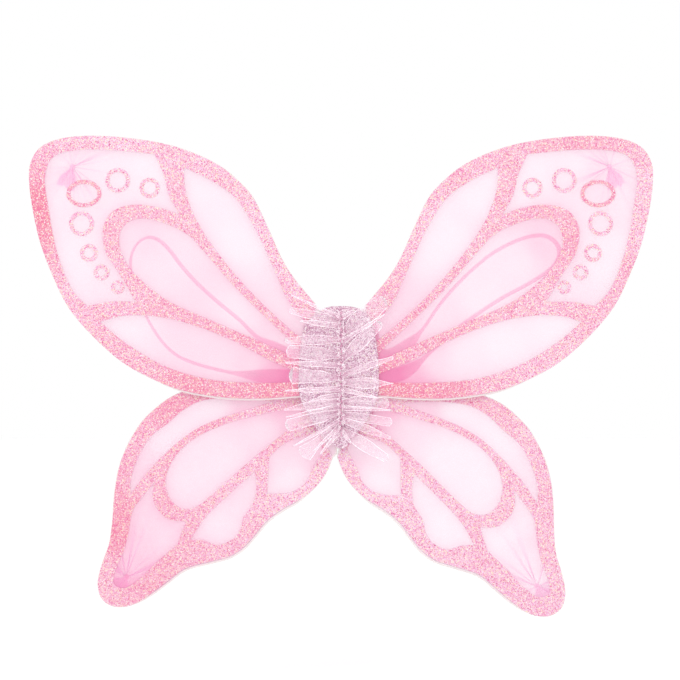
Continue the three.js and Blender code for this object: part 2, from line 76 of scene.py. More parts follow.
# %% Smooth lines
def spline(points, step):
    """Points about step apart along a smooth line through the given ones, in the same units."""
    p = [Vector(q) for q in points]
    p = [2 * p[0] - p[1]] + p + [2 * p[-1] - p[-2]]
    fine = []
    for a, b, c, d in zip(p, p[1:], p[2:], p[3:]):
        t1 = max((b - a).length, 1e-6) ** 0.5
        t2 = t1 + max((c - b).length, 1e-6) ** 0.5
        t3 = t2 + max((d - c).length, 1e-6) ** 0.5
        for k in range(16):
            t = t1 + (t2 - t1) * k / 16
            ab, bc, cd = a.lerp(b, t / t1), b.lerp(c, (t - t1) / (t2 - t1)), c.lerp(d, (t - t2) / (t3 - t2))
            abc, bcd = ab.lerp(bc, t / t2), bc.lerp(cd, (t - t1) / (t3 - t1))
            fine.append(abc.lerp(bcd, (t - t1) / (t2 - t1)))
    fine.append(p[-2])
    return spaced(fine, step)


def spaced(line, step):
    """The same line with evenly spaced points."""
    gone = [0.0]
    for a, b in zip(line, line[1:]):
        gone.append(gone[-1] + (b - a).length)
    count, out, k = max(2, round(gone[-1] / step)), [], 0
    for i in range(count + 1):
        s = gone[-1] * i / count
        while k < len(gone) - 2 and gone[k + 1] < s:
            k += 1
        out.append(line[k].lerp(line[k + 1], (s - gone[k]) / max(gone[k + 1] - gone[k], 1e-9)))
    return out


def offset(line, distance, closed=False):
    """A flat line moved to the left of its direction, by a number or by a rule for each point."""
    out = []
    for i, p in enumerate(line):
        before = line[i - 1] if closed or i else p
        after = line[(i + 1) % len(line)] if closed or i < len(line) - 1 else p
        along = (after - before).normalized()
        far = distance(p) if callable(distance) else distance
        out.append(p + Vector((-along.y, along.x)) * far)
    return out


def fade(x, low, high):
    """0 below low, 1 above high, and smooth between."""
    t = min(max((x - low) / (high - low), 0), 1)
    return t * t * (3 - 2 * t)


def blot(spots, u, z):
    """A value that runs smoothly between a few spots, each (u, z, value)."""
    shares = [1 / ((u - x) ** 2 + (z - y) ** 2 + 25) ** 1.5 for x, y, _ in spots]
    return sum(s * spot[2] for s, spot in zip(shares, spots)) / sum(shares)


def wander(x, y, z=0.0):
    """Smooth noise from -1 to 1."""
    return noise.noise(Vector((x, y, z)))

# %% The wings' measured lines
UPPER_EDGE = [
    (20, 63), (28, 72.5), (37, 83.5), (46.5, 98.5), (58, 124), (71, 150), (82.5, 162.5), (98.5, 175),
    (128, 188), (160, 195), (203, 198), (229, 194.5), (242, 187.5), (249, 175), (249.5, 158),
    (246, 134), (240.5, 111), (231, 86), (218, 60), (196, 34.5), (173, 15), (150, 2.5), (128, -7),
    (106, -11.5), (84, -13.8), (62, -13.8), (39, -12.2), (22, -10.5)]
LOWER_EDGE = [
    (28, -9), (42, -5), (62, -1.5), (85, -0.5), (106, -2.5), (122, -6.5), (134, -12), (144, -19.5),
    (154.5, -29.5), (163, -42), (170, -56), (175, -72), (178, -92), (179.5, -112), (182, -129),
    (187, -143), (191, -160), (188.5, -172), (181, -178.5), (171, -180), (159, -177), (146, -170),
    (133, -160.5), (120, -151), (98.5, -145), (84, -141), (73, -134), (64, -124.5), (54, -112.5),
    (43, -104), (30, -96.5), (19, -87), (11.5, -79), (6, -70), (2, -60)]
UPPER_WINDOWS = [
    [[(149, 183), (186, 186.5), (214, 186), (230, 181), (236.5, 167), (234, 140), (226, 101), (214, 73),
      (203, 61.5)], [(203, 61.5), (184, 65), (164, 65)],
     [(164, 65), (178, 88.5), (188.5, 106), (190, 125), (182, 137.5), (165, 142.5), (145, 140), (129, 134.5)],
     [(129, 134.5), (137.5, 150), (142, 167), (149, 183)]],
    [[(125.5, 172.5), (124.5, 155), (116, 131), (95.5, 100), (68, 68.5), (43, 45), (28, 33)],
     [(28, 33), (26, 46)],
     [(26, 46), (42, 65.5), (54, 92), (68, 122), (85, 148.5), (104, 162), (125.5, 172.5)]],
    [[(30, 24), (57, 49.5), (85, 77), (109, 104.5), (123, 119), (150, 130.5), (165, 131), (174.5, 124.5),
      (177.5, 112), (172, 96.5), (158, 80.5), (137, 65), (99, 48), (55.5, 29), (30, 17)],
     [(30, 17), (30, 24)]],
    [[(192.5, 49), (176, 53.5), (154, 54), (125, 48.5), (90, 35.5), (56, 18), (30, 7)], [(30, 7), (30, 1)],
     [(30, 1), (64, 0), (106, 3), (142, 14), (175, 34), (192.5, 49)]]]
LOWER_WINDOWS = [
    [[(50, -15), (80, -12), (106, -14), (121, -21), (134, -32), (148, -43), (156, -55), (162, -69),
      (164.5, -81), (164, -89)],
     [(164, -89), (151, -72), (128, -49), (113, -38), (98, -30.5), (82, -25), (67, -20.5), (50, -15)]],
    [[(28, -19), (59, -25), (90, -33.5), (116, -46.5), (131, -63), (136, -78), (133, -92), (124, -100.5),
      (113, -100), (100.5, -91), (76, -69), (52, -49), (28, -30)], [(28, -30), (28, -19)]],
    [[(145, -79.5), (156, -92.5), (162.5, -102.5), (166, -120), (170, -135), (177, -152), (177.5, -161),
      (170, -164.5), (158, -158), (143.5, -144), (126.5, -129.5)],
     [(126.5, -129.5), (123.5, -121), (119.5, -111)],
     [(119.5, -111), (134, -109), (144, -99), (146.5, -89), (145, -79.5)]],
    [[(64.5, -70.5), (87, -90.5), (105, -108.5), (116, -125.5)],
     [(116, -125.5), (107, -126), (94, -130), (82, -125), (76, -117), (74, -108.5), (65.5, -95.5),
      (63.5, -83), (64.5, -70.5)]],
    [[(53, -59), (54, -73.5), (55, -89)], [(55, -89), (35, -87.5), (24, -80), (17, -66), (10, -55)],
     [(10, -55), (14, -40)], [(14, -40), (36, -46), (44, -50.5), (53, -59)]]]
RINGS = [(205.5, 151.5, 14.0, 10.9), (178.5, 162, 9.8, 9.8), (153, 156, 8.1, 8.1), (207.5, 127.5, 9.9, 9.9),
         (201.5, 104, 7.1, 7.1), (191.5, 88.5, 6.3, 6.3), (178.5, 76.5, 5.4, 5.4)]
KNOTS = {"upper": (215, 173), "lower": (168, -156)}
ROUTES = {
    "upper": [(20, 61), (11, 50), (3.5, 34), (3.5, 16), (3.5, 6), (3.5, -3), (9, -11)],
    "lower": [(30, -6), (19, 2), (11, 9), (6, 11), (3.5, 7), (3.5, 0), (3.5, -14), (3.5, -40), (4.5, -56)]}
EDGES = {"upper": UPPER_EDGE, "lower": LOWER_EDGE}
WINDOWS = {"upper": UPPER_WINDOWS, "lower": LOWER_WINDOWS}
SIDES = {"left": -1, "right": 1}
WINGS = [(kind, name) for kind in EDGES for name in SIDES]

# %% Places and layers, read from the frame
def middle(node):
    """The depth of a solid's middle, in millimetres."""
    low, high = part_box(node)
    return (low[1] + high[1]) / 2 / MM


Y = {"upper": middle("upper_left_wire"), "lower": middle("lower_left_wire")}
PRINT_Y = {k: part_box(f"{k}_left_print")[1][1] / MM for k in Y}
PANEL_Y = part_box("front_panel")[1][1] / MM
TAB_Y = middle("left_strap_upper_tab")
JOINTS = {j["name"]: j for j in frame["record"]["behaviour"]["joints"]}
SHIFT = {"upper": 0, "lower": -4.4}  # how far each pair lies to one side
PIVOT, DROOP = (24, -42), math.radians(3)  # the right lower wing is turned about this point


def placing(kind, side):
    """Carries a point of the outline to its place on that side, in millimetres."""
    def place(p):
        x, z = p
        if kind == "lower" and side > 0:
            dx, dz = x - PIVOT[0], z - PIVOT[1]
            x = PIVOT[0] + dx * math.cos(DROOP) + dz * math.sin(DROOP)
            z = PIVOT[1] - dx * math.sin(DROOP) + dz * math.cos(DROOP)
        return Vector((side * x + SHIFT[kind], z))
    return place


def fold_span(kind, name, inner=2.5, outer=4.0):
    """Where fabric starts and ends its bend at that wing's fold line, as two points of the frame."""
    joint = JOINTS[f"{kind}_{name}_fold"]
    at, axis = Vector(joint["pos_m"]), Vector(joint["axis"])
    out = axis.cross(Vector((0, 1, 0))).normalized()
    if out.x * SIDES[name] < 0:
        out = -out
    return at - out * inner * MM, at + out * outer * MM


print("layers in mm", Y, PRINT_Y, PANEL_Y)

# %% [markdown]
# ## Shader tools
# Every finish below is a sum of a few masks. Writing `1 - mask` is easier to read than a row of Math nodes,
# so a small class wraps a socket and turns each sign into its node. One more method adds any other node.

# %% Sockets as numbers
def sign(operation, swapped=False):
    """A method of the class below that does one sum as a node."""
    def method(self, other):
        a, b = (other, self) if swapped else (self, other)
        return self.finish.node("ShaderNodeMath", {"operation": operation}, {0: a, 1: b})
    return method


class Value:
    """A socket that can be added, taken away, multiplied and divided."""
    def __init__(self, finish, socket):
        self.finish, self.socket = finish, socket

    __add__, __radd__ = sign("ADD"), sign("ADD", swapped=True)
    __sub__, __rsub__ = sign("SUBTRACT"), sign("SUBTRACT", swapped=True)
    __mul__, __rmul__ = sign("MULTIPLY"), sign("MULTIPLY", swapped=True)
    __truediv__ = sign("DIVIDE")


class Finish:
    """A material under construction."""
    def __init__(self, name):
        self.material = bpy.data.materials.new(name)
        self.material.use_nodes = True
        self.tree = self.material.node_tree
        self.surface = self.tree.nodes["Principled BSDF"]

    def node(self, kind, settings=None, values=None, out=0):
        made = self.tree.nodes.new(kind)
        for key, setting in (settings or {}).items():
            if key == "stops":
                ramp = made.color_ramp
                while len(ramp.elements) < len(setting):
                    ramp.elements.new(0.5)
                for element, (place, colour) in zip(ramp.elements, setting):
                    element.position, element.color = place, (*colour, 1)
            else:
                setattr(made, key, setting)
        for key, value in (values or {}).items():
            self.join(made.inputs[key], value)
        return Value(self, made.outputs[out])

    def join(self, socket, value):
        if isinstance(value, Value):
            self.tree.links.new(value.socket, socket)
        elif isinstance(value, tuple) and len(value) == 3 and socket.type == "RGBA":
            socket.default_value = (*value, 1)
        else:
            socket.default_value = value

    def mix(self, factor, a, b):
        return self.node("ShaderNodeMix", {"data_type": "RGBA"}, {0: factor, 6: a, 7: b}, out=2)

    def ramp(self, x, stops):
        return self.node("ShaderNodeValToRGB", {"stops": stops}, {0: x})

    def between(self, x, low, high):
        """0 to 1 as x goes from low to high."""
        return self.node("ShaderNodeMapRange", {"interpolation_type": "SMOOTHSTEP"}, {0: x, 1: low, 2: high})

    def spot(self):
        return self.node("ShaderNodeTexCoord", out=3)

    def attribute(self, name):
        return self.node("ShaderNodeAttribute", {"attribute_name": name}, out=2)

    def noise(self, scale, detail=2.0):
        values = {"Vector": self.spot(), "Scale": scale, "Detail": detail}
        return self.node("ShaderNodeTexNoise", None, values)

    def cells(self, size, out=1):
        """Cells about size metres across: 0 is the distance to the middle, 1 a colour for each cell."""
        return self.node("ShaderNodeTexVoronoi", None, {"Vector": self.spot(), "Scale": 1 / size}, out=out)

    def split(self, colour, channel):
        return self.node("ShaderNodeSeparateColor", None, {0: colour}, out=channel)

    def bump(self, height, strength, distance):
        values = {"Strength": strength, "Distance": distance, "Height": height}
        return self.node("ShaderNodeBump", None, values)

    def set(self, **values):
        for key, value in values.items():
            self.join(self.surface.inputs[key.replace("_", " ")], value)
        return self.material


LIGHT = 1.09  # how much brighter than the plain sky the lamps and sky together make a surface


def rgb(text, light=LIGHT):
    """The base colour that looks like this screen colour in the room's light."""
    parts = [int(text[i:i + 2], 16) / 255 for i in (0, 2, 4)]
    return tuple((v / 12.92 if v <= 0.04045 else ((v + 0.055) / 1.055) ** 2.4) / light for v in parts)

# %% [markdown]
# ## Glitter
# Flocked glitter is thousands of tiny flakes in glue. Cells the size of a flake, each with its own colour from
# deep rose over pink and mauve to cream and white, give that grain. The tone isn't even: every point of a
# print carries how far its colour goes towards a deeper rose. Foil flakes are a little metallic.

# %% Glitter finishes
def glitter(name, flakes, deeper, deep_share=1.0, flake=0.62, metal=0.3):
    f = Finish(name)
    grain = f.cells(flake * MM)
    pick, kind, turn = (f.split(grain, k) for k in range(3))
    flock = f.attribute("flock") * deep_share
    slow = f.noise(60, detail=3.0)
    colour = f.ramp(pick, flakes)
    colour = f.mix((flock + 0.5 * slow - 0.2) * (0.75 - 0.35 * f.between(pick, 0.6, 0.9)), colour, deeper)
    spark = f.between(kind, 0.86, 0.9)
    foil = f.ramp(turn, [(0.0, rgb("FFF0C8")), (0.45, rgb("FFFFFF")), (1.0, rgb("FFD9EE"))])
    height = turn + 0.5 * f.noise(1100, detail=1.0)
    return f.set(Base_Color=f.mix(spark * 0.8, colour, foil), Metallic=spark * metal,
                 Roughness=0.6 - 0.3 * spark, Normal=f.bump(height, 0.3, 0.2 * MM),
                 Sheen_Weight=0.1, Specular_IOR_Level=0.35)


PINK_FLAKES = [(0.0, rgb("D05A90")), (0.14, rgb("E68DB8")), (0.34, rgb("F0B5D5")), (0.54, rgb("F5CDE5")),
               (0.7, rgb("EFCFEE")), (0.84, rgb("F8D4CC")), (0.93, rgb("F3EBC6")), (1.0, rgb("FFFAF7"))]
GREY_FLAKES = [(0.0, rgb("92557A")), (0.2, rgb("BC85A4")), (0.45, rgb("E2B6CD")), (0.72, rgb("F6DEEA")),
               (1.0, rgb("FFF8FC"))]
pink_glitter = glitter("pink_glitter", PINK_FLAKES, rgb("E86E92"))
silver_glitter = glitter("silver_glitter", GREY_FLAKES, rgb("C58BA9"), deep_share=0.8, flake=0.6, metal=0.4)
print("glitter finishes made")

# %% [markdown]
# ## Sheer mesh
# The sleeves are nylon mesh, so thin that white shows through, and pinker where it bunches towards the root
# and beside the veins. Where a sleeve's end is drawn together by its knot, creases run out like rays; their
# deeper lilac-pink is partly bunched mesh and partly painted shade. Each point of a sleeve carries its tint,
# its crease and whether the wire lies under it. Light comes through cloth this thin from behind; a faint
# painted glow in the cloth's own colour stands for that, and keeps its folds clear.

# %% Sheer finishes
SHEER_LIGHT = 1.24  # as LIGHT, with the glow of sheer cloth


def sheer(text):
    return rgb(text, SHEER_LIGHT)


def sheer_mesh(name, open_weave, pale, deep, crease_shade_tone, glow=0.15):
    f = Finish(name)
    tint, crease, rim = f.attribute("tint"), f.attribute("crease"), f.attribute("rim")
    drift = f.noise(22, detail=2.0)
    body = f.mix(tint + 0.16 * (drift - 0.5), pale, deep)
    # painted shade: along the creases the colour goes towards a deeper lilac-pink, partly bunched mesh and
    # partly shade in the folds
    body = f.mix(crease * 0.6, body, crease_shade_tone)
    colour = f.mix(rim * 0.9, body, sheer("FFF6F3"))
    threads = f.cells(0.5 * MM, out=0)
    alpha = open_weave + 0.22 * tint + 0.2 * crease + 0.3 * rim + 0.14 * (threads - 0.5)
    # painted light: the cloth glows in its own colour at strength glow, standing for light coming through it
    return f.set(Base_Color=colour, Alpha=alpha, Roughness=0.75, Sheen_Weight=0.15, Emission_Color=colour,
                 Emission_Strength=glow, Normal=f.bump(threads + crease, 0.25, 0.3 * MM),
                 Specular_IOR_Level=0.2)


def sheer_tulle():
    f = Finish("sheer_tulle")
    rim, gather = f.attribute("rim"), f.attribute("gather")
    grain = f.cells(0.55 * MM)
    pick, kind = f.split(grain, 0), f.split(grain, 1)
    base = f.ramp(pick, [(0.0, sheer("D998BC")), (0.3, sheer("F2CCE0")), (0.7, sheer("FBE4F0")),
                         (1.0, sheer("FFF9FC"))])
    # painted shade: towards the gather the tulle goes deeper pink, partly its bunching and partly shade
    # between the pleats
    shade = f.mix(gather * 0.7, base, sheer("DC8DB6"))
    colour = f.mix(rim * 0.95, shade, sheer("FFFBFD"))
    spark = f.between(kind, 0.86, 0.92)
    colour = f.mix(spark * 0.6, colour, sheer("FFFFFF"))
    alpha = 0.09 + 0.78 * rim + 0.14 * gather + 0.24 * spark + 0.16 * pick
    # painted light: the tulle glows in its own colour, a painted highlight on the folded edges and less glow,
    # as painted shade, at the gather
    glow = f.mix(rim * 0.5 + 0.5 - 0.3 * gather, (0.0, 0.0, 0.0), colour)
    return f.set(Base_Color=colour, Alpha=alpha, Roughness=0.55, Sheen_Weight=0.2, Emission_Color=glow,
                 Emission_Strength=0.52, Normal=f.bump(pick, 0.2, 0.15 * MM))


mesh_cloth = sheer_mesh("sheer_mesh", 0.38, sheer("FDE7F4"), sheer("FA9DC8"), sheer("EE92CC"))
# painted light: the bunched ends glow more strongly, which lifts them out of the shade behind the sleeves
bunched_mesh = sheer_mesh("bunched_mesh", 0.42, sheer("FFDCF4"), sheer("F9A6DC"), sheer("F08CD0"), 0.42)
tulle = sheer_tulle()
print("sheer finishes made")

# %% [markdown]
# ## Wire, elastic, felt and thread
# The wire is steel in a smooth white coat. The elastic is woven, so it has fine cross ribs, and a faint
# painted glow in its own colour lifts it where the wings shade it. The pad is felt, which is a tangle of
# fibres, and the tapes and threads are plain fine fabric; the pale thread of the knots and the pad seam has a
# painted glow too.

# %% Plain finishes
def coated_wire():
    f = Finish("coated_wire")
    worn = f.noise(160, detail=4.0)
    colour = f.mix(f.between(worn, 0.55, 0.75) * 0.3, rgb("FFFBFD"), rgb("F0DFE8"))
    return f.set(Base_Color=colour, Roughness=0.3 + 0.2 * worn, Normal=f.bump(worn, 0.1, 0.1 * MM),
                 Coat_Weight=0.3)


def woven(name, light, dark, ribs, glow=0.0):
    """A woven band: ribs across it, and a finer thread along it."""
    f = Finish(name)
    along, side = f.attribute("along"), f.attribute("side")
    rib = f.node("ShaderNodeMath", {"operation": "PINGPONG"}, {0: along, 1: 0.5 * ribs}) / (0.5 * ribs)
    thread = f.node("ShaderNodeMath", {"operation": "PINGPONG"}, {0: side, 1: 0.35 * MM}) / (0.35 * MM)
    fuzz = f.noise(1400)
    colour = f.mix(f.between(rib * 0.7 + thread * 0.3 + fuzz * 0.3, 0.2, 0.95), dark, light)
    # glow is painted light: the band glows in its own colour although it is no lamp
    return f.set(Base_Color=colour, Roughness=0.8, Sheen_Weight=0.25, Emission_Color=colour,
                 Emission_Strength=glow, Normal=f.bump(rib + 0.5 * thread, 0.5, 0.25 * MM))


def felt(name, light, dark, scale=700, glow=0.0):
    f = Finish(name)
    fibre, patch = f.noise(scale, detail=6.0), f.noise(45)
    colour = f.mix(f.between(fibre, 0.35, 0.65) * 0.7 + f.between(patch, 0.4, 0.7) * 0.3, dark, light)
    # glow is painted light: the felt glows in its own colour although it is no lamp
    return f.set(Base_Color=colour, Roughness=0.95, Sheen_Weight=0.3, Emission_Color=colour,
                 Emission_Strength=glow, Normal=f.bump(fibre + 0.5 * f.cells(1.3 * MM, out=0), 0.5, 0.4 * MM))


wire_coat = coated_wire()
# painted light: the elastic glows a little, which lifts it out of the wings' shade
elastic = woven("pink_elastic", rgb("FBA2CA"), rgb("F27CB2"), 1.1 * MM, glow=0.22)
pad_felt = felt("pad_felt", rgb("FCDDE9"), rgb("F5C0D6"))
thread_fibre = felt("pink_thread", rgb("F0A9C8"), rgb("D983AC"), 2600)
# painted light: the knots and the pad seam glow pink, which lifts them out of the shade behind the sleeves
pale_thread = felt("pale_thread", rgb("FFD0EA"), rgb("FBACD8"), 2600, glow=0.4)
tape_cloth = felt("binding_tape", rgb("FFF6FA"), rgb("F3DFE8"), 1500)
print("plain finishes made")

# %% [markdown]
# ## Modelling tools
# A flat piece is drawn as closed lines, filled, cut into strips where it will bend, and given its thickness.
# Every finished piece lies in the frame's own place, so its object stays at the origin.

# %% Helpers for pieces
def deselect():
    if bpy.context.mode != "OBJECT":
        bpy.ops.object.mode_set(mode="OBJECT")
    bpy.ops.object.select_all(action="DESELECT")


def take(obj):
    deselect()
    obj.select_set(True)
    bpy.context.view_layer.objects.active = obj
    return obj


def edit_all():
    """Opens the piece for editing with everything selected."""
    bpy.ops.object.mode_set(mode="EDIT")
    bpy.ops.mesh.select_all(action="SELECT")


def settle():
    """Takes an object's own move, turn and size up into its mesh."""
    bpy.ops.object.transform_apply(location=True, rotation=True, scale=True)


def new_mesh(name, points, edges=(), faces=()):
    data = bpy.data.meshes.new(name)
    data.from_pydata([tuple(p) for p in points], list(edges), list(faces))
    obj = bpy.data.objects.new(name, data)
    bpy.context.collection.objects.link(obj)
    return take(obj)


def finished(obj, material, smooth=60):
    """One material, outward faces and smooth shading."""
    take(obj)
    edit_all()
    bpy.ops.mesh.normals_make_consistent(inside=False)
    bpy.ops.object.mode_set(mode="OBJECT")
    bpy.ops.object.shade_smooth_by_angle(angle=math.radians(smooth))
    obj.data.materials.clear()
    obj.data.materials.append(material)
    return obj


def apply(obj, kind, **settings):
    take(obj)
    modifier = obj.modifiers.new(kind.lower(), kind)
    for key, value in settings.items():
        setattr(modifier, key, value)
    bpy.ops.object.modifier_apply(modifier=modifier.name)


def mark(obj, name, values):
    """Stores a number for every point of the mesh, or the same number for all."""
    values = values if isinstance(values, list) else [values] * len(obj.data.vertices)
    obj.data.attributes.new(name, "FLOAT", "POINT").data.foreach_set("value", values)


def tube_faces(rows, around):
    """The faces of a closed tube whose points come row by row."""
    faces = [(r * around + k, r * around + (k + 1) % around, (r + 1) * around + (k + 1) % around,
              (r + 1) * around + k) for r in range(rows) for k in range(around)]
    return faces + [tuple(range(around))[::-1], tuple(range(rows * around, (rows + 1) * around))]


def filled(name, lines, y, thickness, cuts=(), bevel=0.0):
    """A flat plate inside the first line and outside the rest, in the plane at y, towards the front."""
    points, edges = [], []
    for line in lines:
        first = len(points)
        points += [Vector((p.x, y, p.y)) * MM for p in line]
        edges += [(first + i, first + (i + 1) % len(line)) for i in range(len(line))]
    obj = new_mesh(name, points, edges)
    edit_all()
    bpy.ops.mesh.fill(use_beauty=True)
    for place, normal in cuts:
        bpy.ops.mesh.select_all(action="SELECT")
        bpy.ops.mesh.bisect(plane_co=place, plane_no=normal)
    bpy.ops.mesh.select_all(action="SELECT")
    bpy.ops.mesh.normals_make_consistent(inside=False)
    bpy.ops.object.mode_set(mode="OBJECT")
    if obj.data.polygons[0].normal.y > 0:
        obj.data.flip_normals()
    apply(obj, "SOLIDIFY", thickness=thickness * MM, offset=1.0)
    if bevel:
        apply(obj, "BEVEL", width=bevel * MM, segments=2, limit_method="ANGLE", angle_limit=math.radians(50))
    return obj


def joined(objects, name):
    take(objects[0])
    for other in objects[1:]:
        other.select_set(True)
    bpy.ops.object.join()
    objects[0].name = name
    return objects[0]

# %% [markdown]
# ## Mesh sleeves
# On the real wings a tube of mesh is pulled over each hoop and tied off near the tip. Such a bag is closed
# round the wire, tight and almost flat between, and creased at the knot. It is made as two fans of points,
# from the hoop's edge in to the knot, because the creases then follow the mesh's own lines.

# %% The fan
WELL_INSIDE = 9.0


def fan(name, edge, hub, depth_of, rings, insets=(0.0, 0.35, 0.9, 1.7, 2.6)):
    """A closed flat bag. depth_of(place, inset, front) gives a point's y in millimetres.
    Returns the bag, and for every point its place, its distance in from the edge and its side."""
    count, points, facts = len(edge), [], []
    loops = [offset(edge, d, closed=True) for d in insets]
    loops += [[p.lerp(hub, 1 - (1 - k / rings) ** 1.1) for p in loops[-1]] for k in range(1, rings)]

    def put(p, front, inset):
        points.append(Vector((p.x, depth_of(p, inset, front), p.y)) * MM)
        facts.append((p, inset, front))

    for p in loops[0]:
        put(p, 1, 0)
    faces = []
    for front in (1, -1):
        starts = [0]
        for k, loop in enumerate(loops[1:], 1):
            starts.append(len(points))
            for p in loop:
                put(p, front, insets[k] if k < len(insets) else WELL_INSIDE)
        hub_index = len(points)
        put(hub, front, WELL_INSIDE)
        for a, b in zip(starts, starts[1:]):
            faces += [(a + i, a + (i + 1) % count, b + (i + 1) % count, b + i)[::front] for i in range(count)]
        faces += [(starts[-1] + i, starts[-1] + (i + 1) % count, hub_index)[::front] for i in range(count)]
    return new_mesh(name, points, faces=faces), facts


def turning(line):
    """Twice the area inside a closed line, and below zero when it runs clockwise."""
    return sum(a.x * b.y - b.x * a.y for a, b in zip(line, line[1:] + line[:1]))


def ring_of(line, clockwise):
    """The closed line in the wanted direction."""
    return line if (turning(line) < 0) == clockwise else line[::-1]


def round_edge(inset, reach=2.2):
    """How full a padded edge is, from 0 on the edge to 1 at reach millimetres in."""
    return math.sqrt(max(0.0, 1 - (1 - min(inset, reach) / reach) ** 2))

# %% Tints of the sleeves
TINTS = {
    "upper_left": [
        (225, 150, .1), (225, 180, .05), (217, 166, .3), (204, 174, .12), (185, 178, .05), (150, 172, 0),
        (215, 100, .05), (180, 70, .15), (110, 160, .05), (80, 112, 0), (45, 60, .25), (160, 118, .3),
        (140, 100, .2), (110, 75, .3), (80, 55, .15), (50, 33, .35), (170, 45, .08), (130, 33, .3),
        (100, 22, .3), (70, 18, .4), (58, 7, .8), (42, 5, .95)],
    "upper_right": [
        (225, 150, .12), (225, 180, .08), (217, 166, .25), (208, 160, .25), (185, 178, .05), (150, 172, 0),
        (215, 100, .02), (180, 70, .15), (110, 160, 0), (80, 112, 0), (45, 60, .35), (160, 112, .45),
        (140, 98, .15), (110, 75, .1), (80, 55, .25), (50, 33, .45), (170, 45, 0), (130, 33, 0),
        (100, 22, .1), (75, 18, .3), (58, 7, .75), (42, 5, 1.0)],
    "lower_left": [
        (130, -40, .12), (100, -22, .12), (72, -17, .5), (158, -70, .35), (120, -70, .2), (90, -60, .18),
        (60, -40, .3), (38, -26, .65), (150, -105, .42), (155, -128, .5), (160, -146, .6), (168, -158, .7),
        (134, -122, .38), (90, -110, .2), (78, -90, .25), (45, -60, .3), (35, -80, .1), (20, -58, .4)],
    "lower_right": [
        (130, -40, 0), (100, -22, .05), (72, -17, .42), (158, -70, .12), (120, -70, .02), (90, -60, .02),
        (60, -40, .28), (38, -26, .7), (150, -105, .12), (155, -128, .22), (160, -146, .18),
        (168, -158, .15), (134, -122, .05), (90, -110, .03), (78, -90, .05), (45, -60, .1), (35, -80, .05),
        (20, -58, .35)]}
PUCKERS = {"upper": (11.5, -35), "lower": (16.0, 118)}  # how far the creases reach, and their main way

# %% Bunched ends
BUNCHES = {"upper": (0.35, -0.94, 17), "lower": (0.55, -0.83, 11)}  # the way each end hangs, and its length


def bunch(kind, name):
    """The sleeve's end behind the knot: a little fan of mesh, drawn together at one end and crumpled."""
    side, place = SIDES[name], placing(kind, SIDES[name])
    at = place(KNOTS[kind])
    out, up, length = BUNCHES[kind]
    down = Vector((side * out, up)).normalized()
    across, columns, rows = Vector((-down.y, down.x)), 44, 20
    points = []
    for r in range(rows + 1):
        t = r / rows
        for c in range(columns + 1):
            s = 2 * c / columns - 1
            wide = 1.6 + 5.6 * fade(t, 0, 0.7) * (1 + 0.18 * wander(s * 2, t * 3, side))
            p = at + down * (t * length * (1 + 0.12 * wander(s * 3, 4.0, side))) + across * (s * wide)
            fold = math.sin(s * 15 + 2.2 * wander(s * 2, t * 4, 5)) * (0.35 + 0.55 * t)
            points.append(Vector((p.x, Y[kind] + 2.9 + fold, p.y)) * MM)
    w = columns + 1
    faces = [(r * w + c, r * w + c + 1, (r + 1) * w + c + 1, (r + 1) * w + c)
             for r in range(rows) for c in range(columns)]
    obj = new_mesh(f"{kind}_{name}_bunched_end", points, faces=faces)
    apply(obj, "SOLIDIFY", thickness=0.2 * MM, offset=0.0)
    mark(obj, "tint", 0.5)
    # painted shade: stripes of the deeper crease colour lie between the crumples, partly denser cloth and
    # partly shade
    mark(obj, "crease", [fade(math.sin(v.co.x * 3200), 0, 1) for v in obj.data.vertices])
    mark(obj, "rim", 0.0)
    finished(obj, bunched_mesh, 80)
    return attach(obj, f"{kind}_{name}_wing")

# %% Sleeves over the hoops
SLEEVE_DEPTH = 1.6
INNER_ENDS = {  # where each sleeve ends between panel and pad, clear of the sleeve beside it
    "upper_left": [(9, 0), (8, 40)], "upper_right": [(9, 0), (8, 40)],
    "lower_left": [(-1.3, -56.8), (-1.3, -14)], "lower_right": [(3.2, -54), (1.8, -14)]}


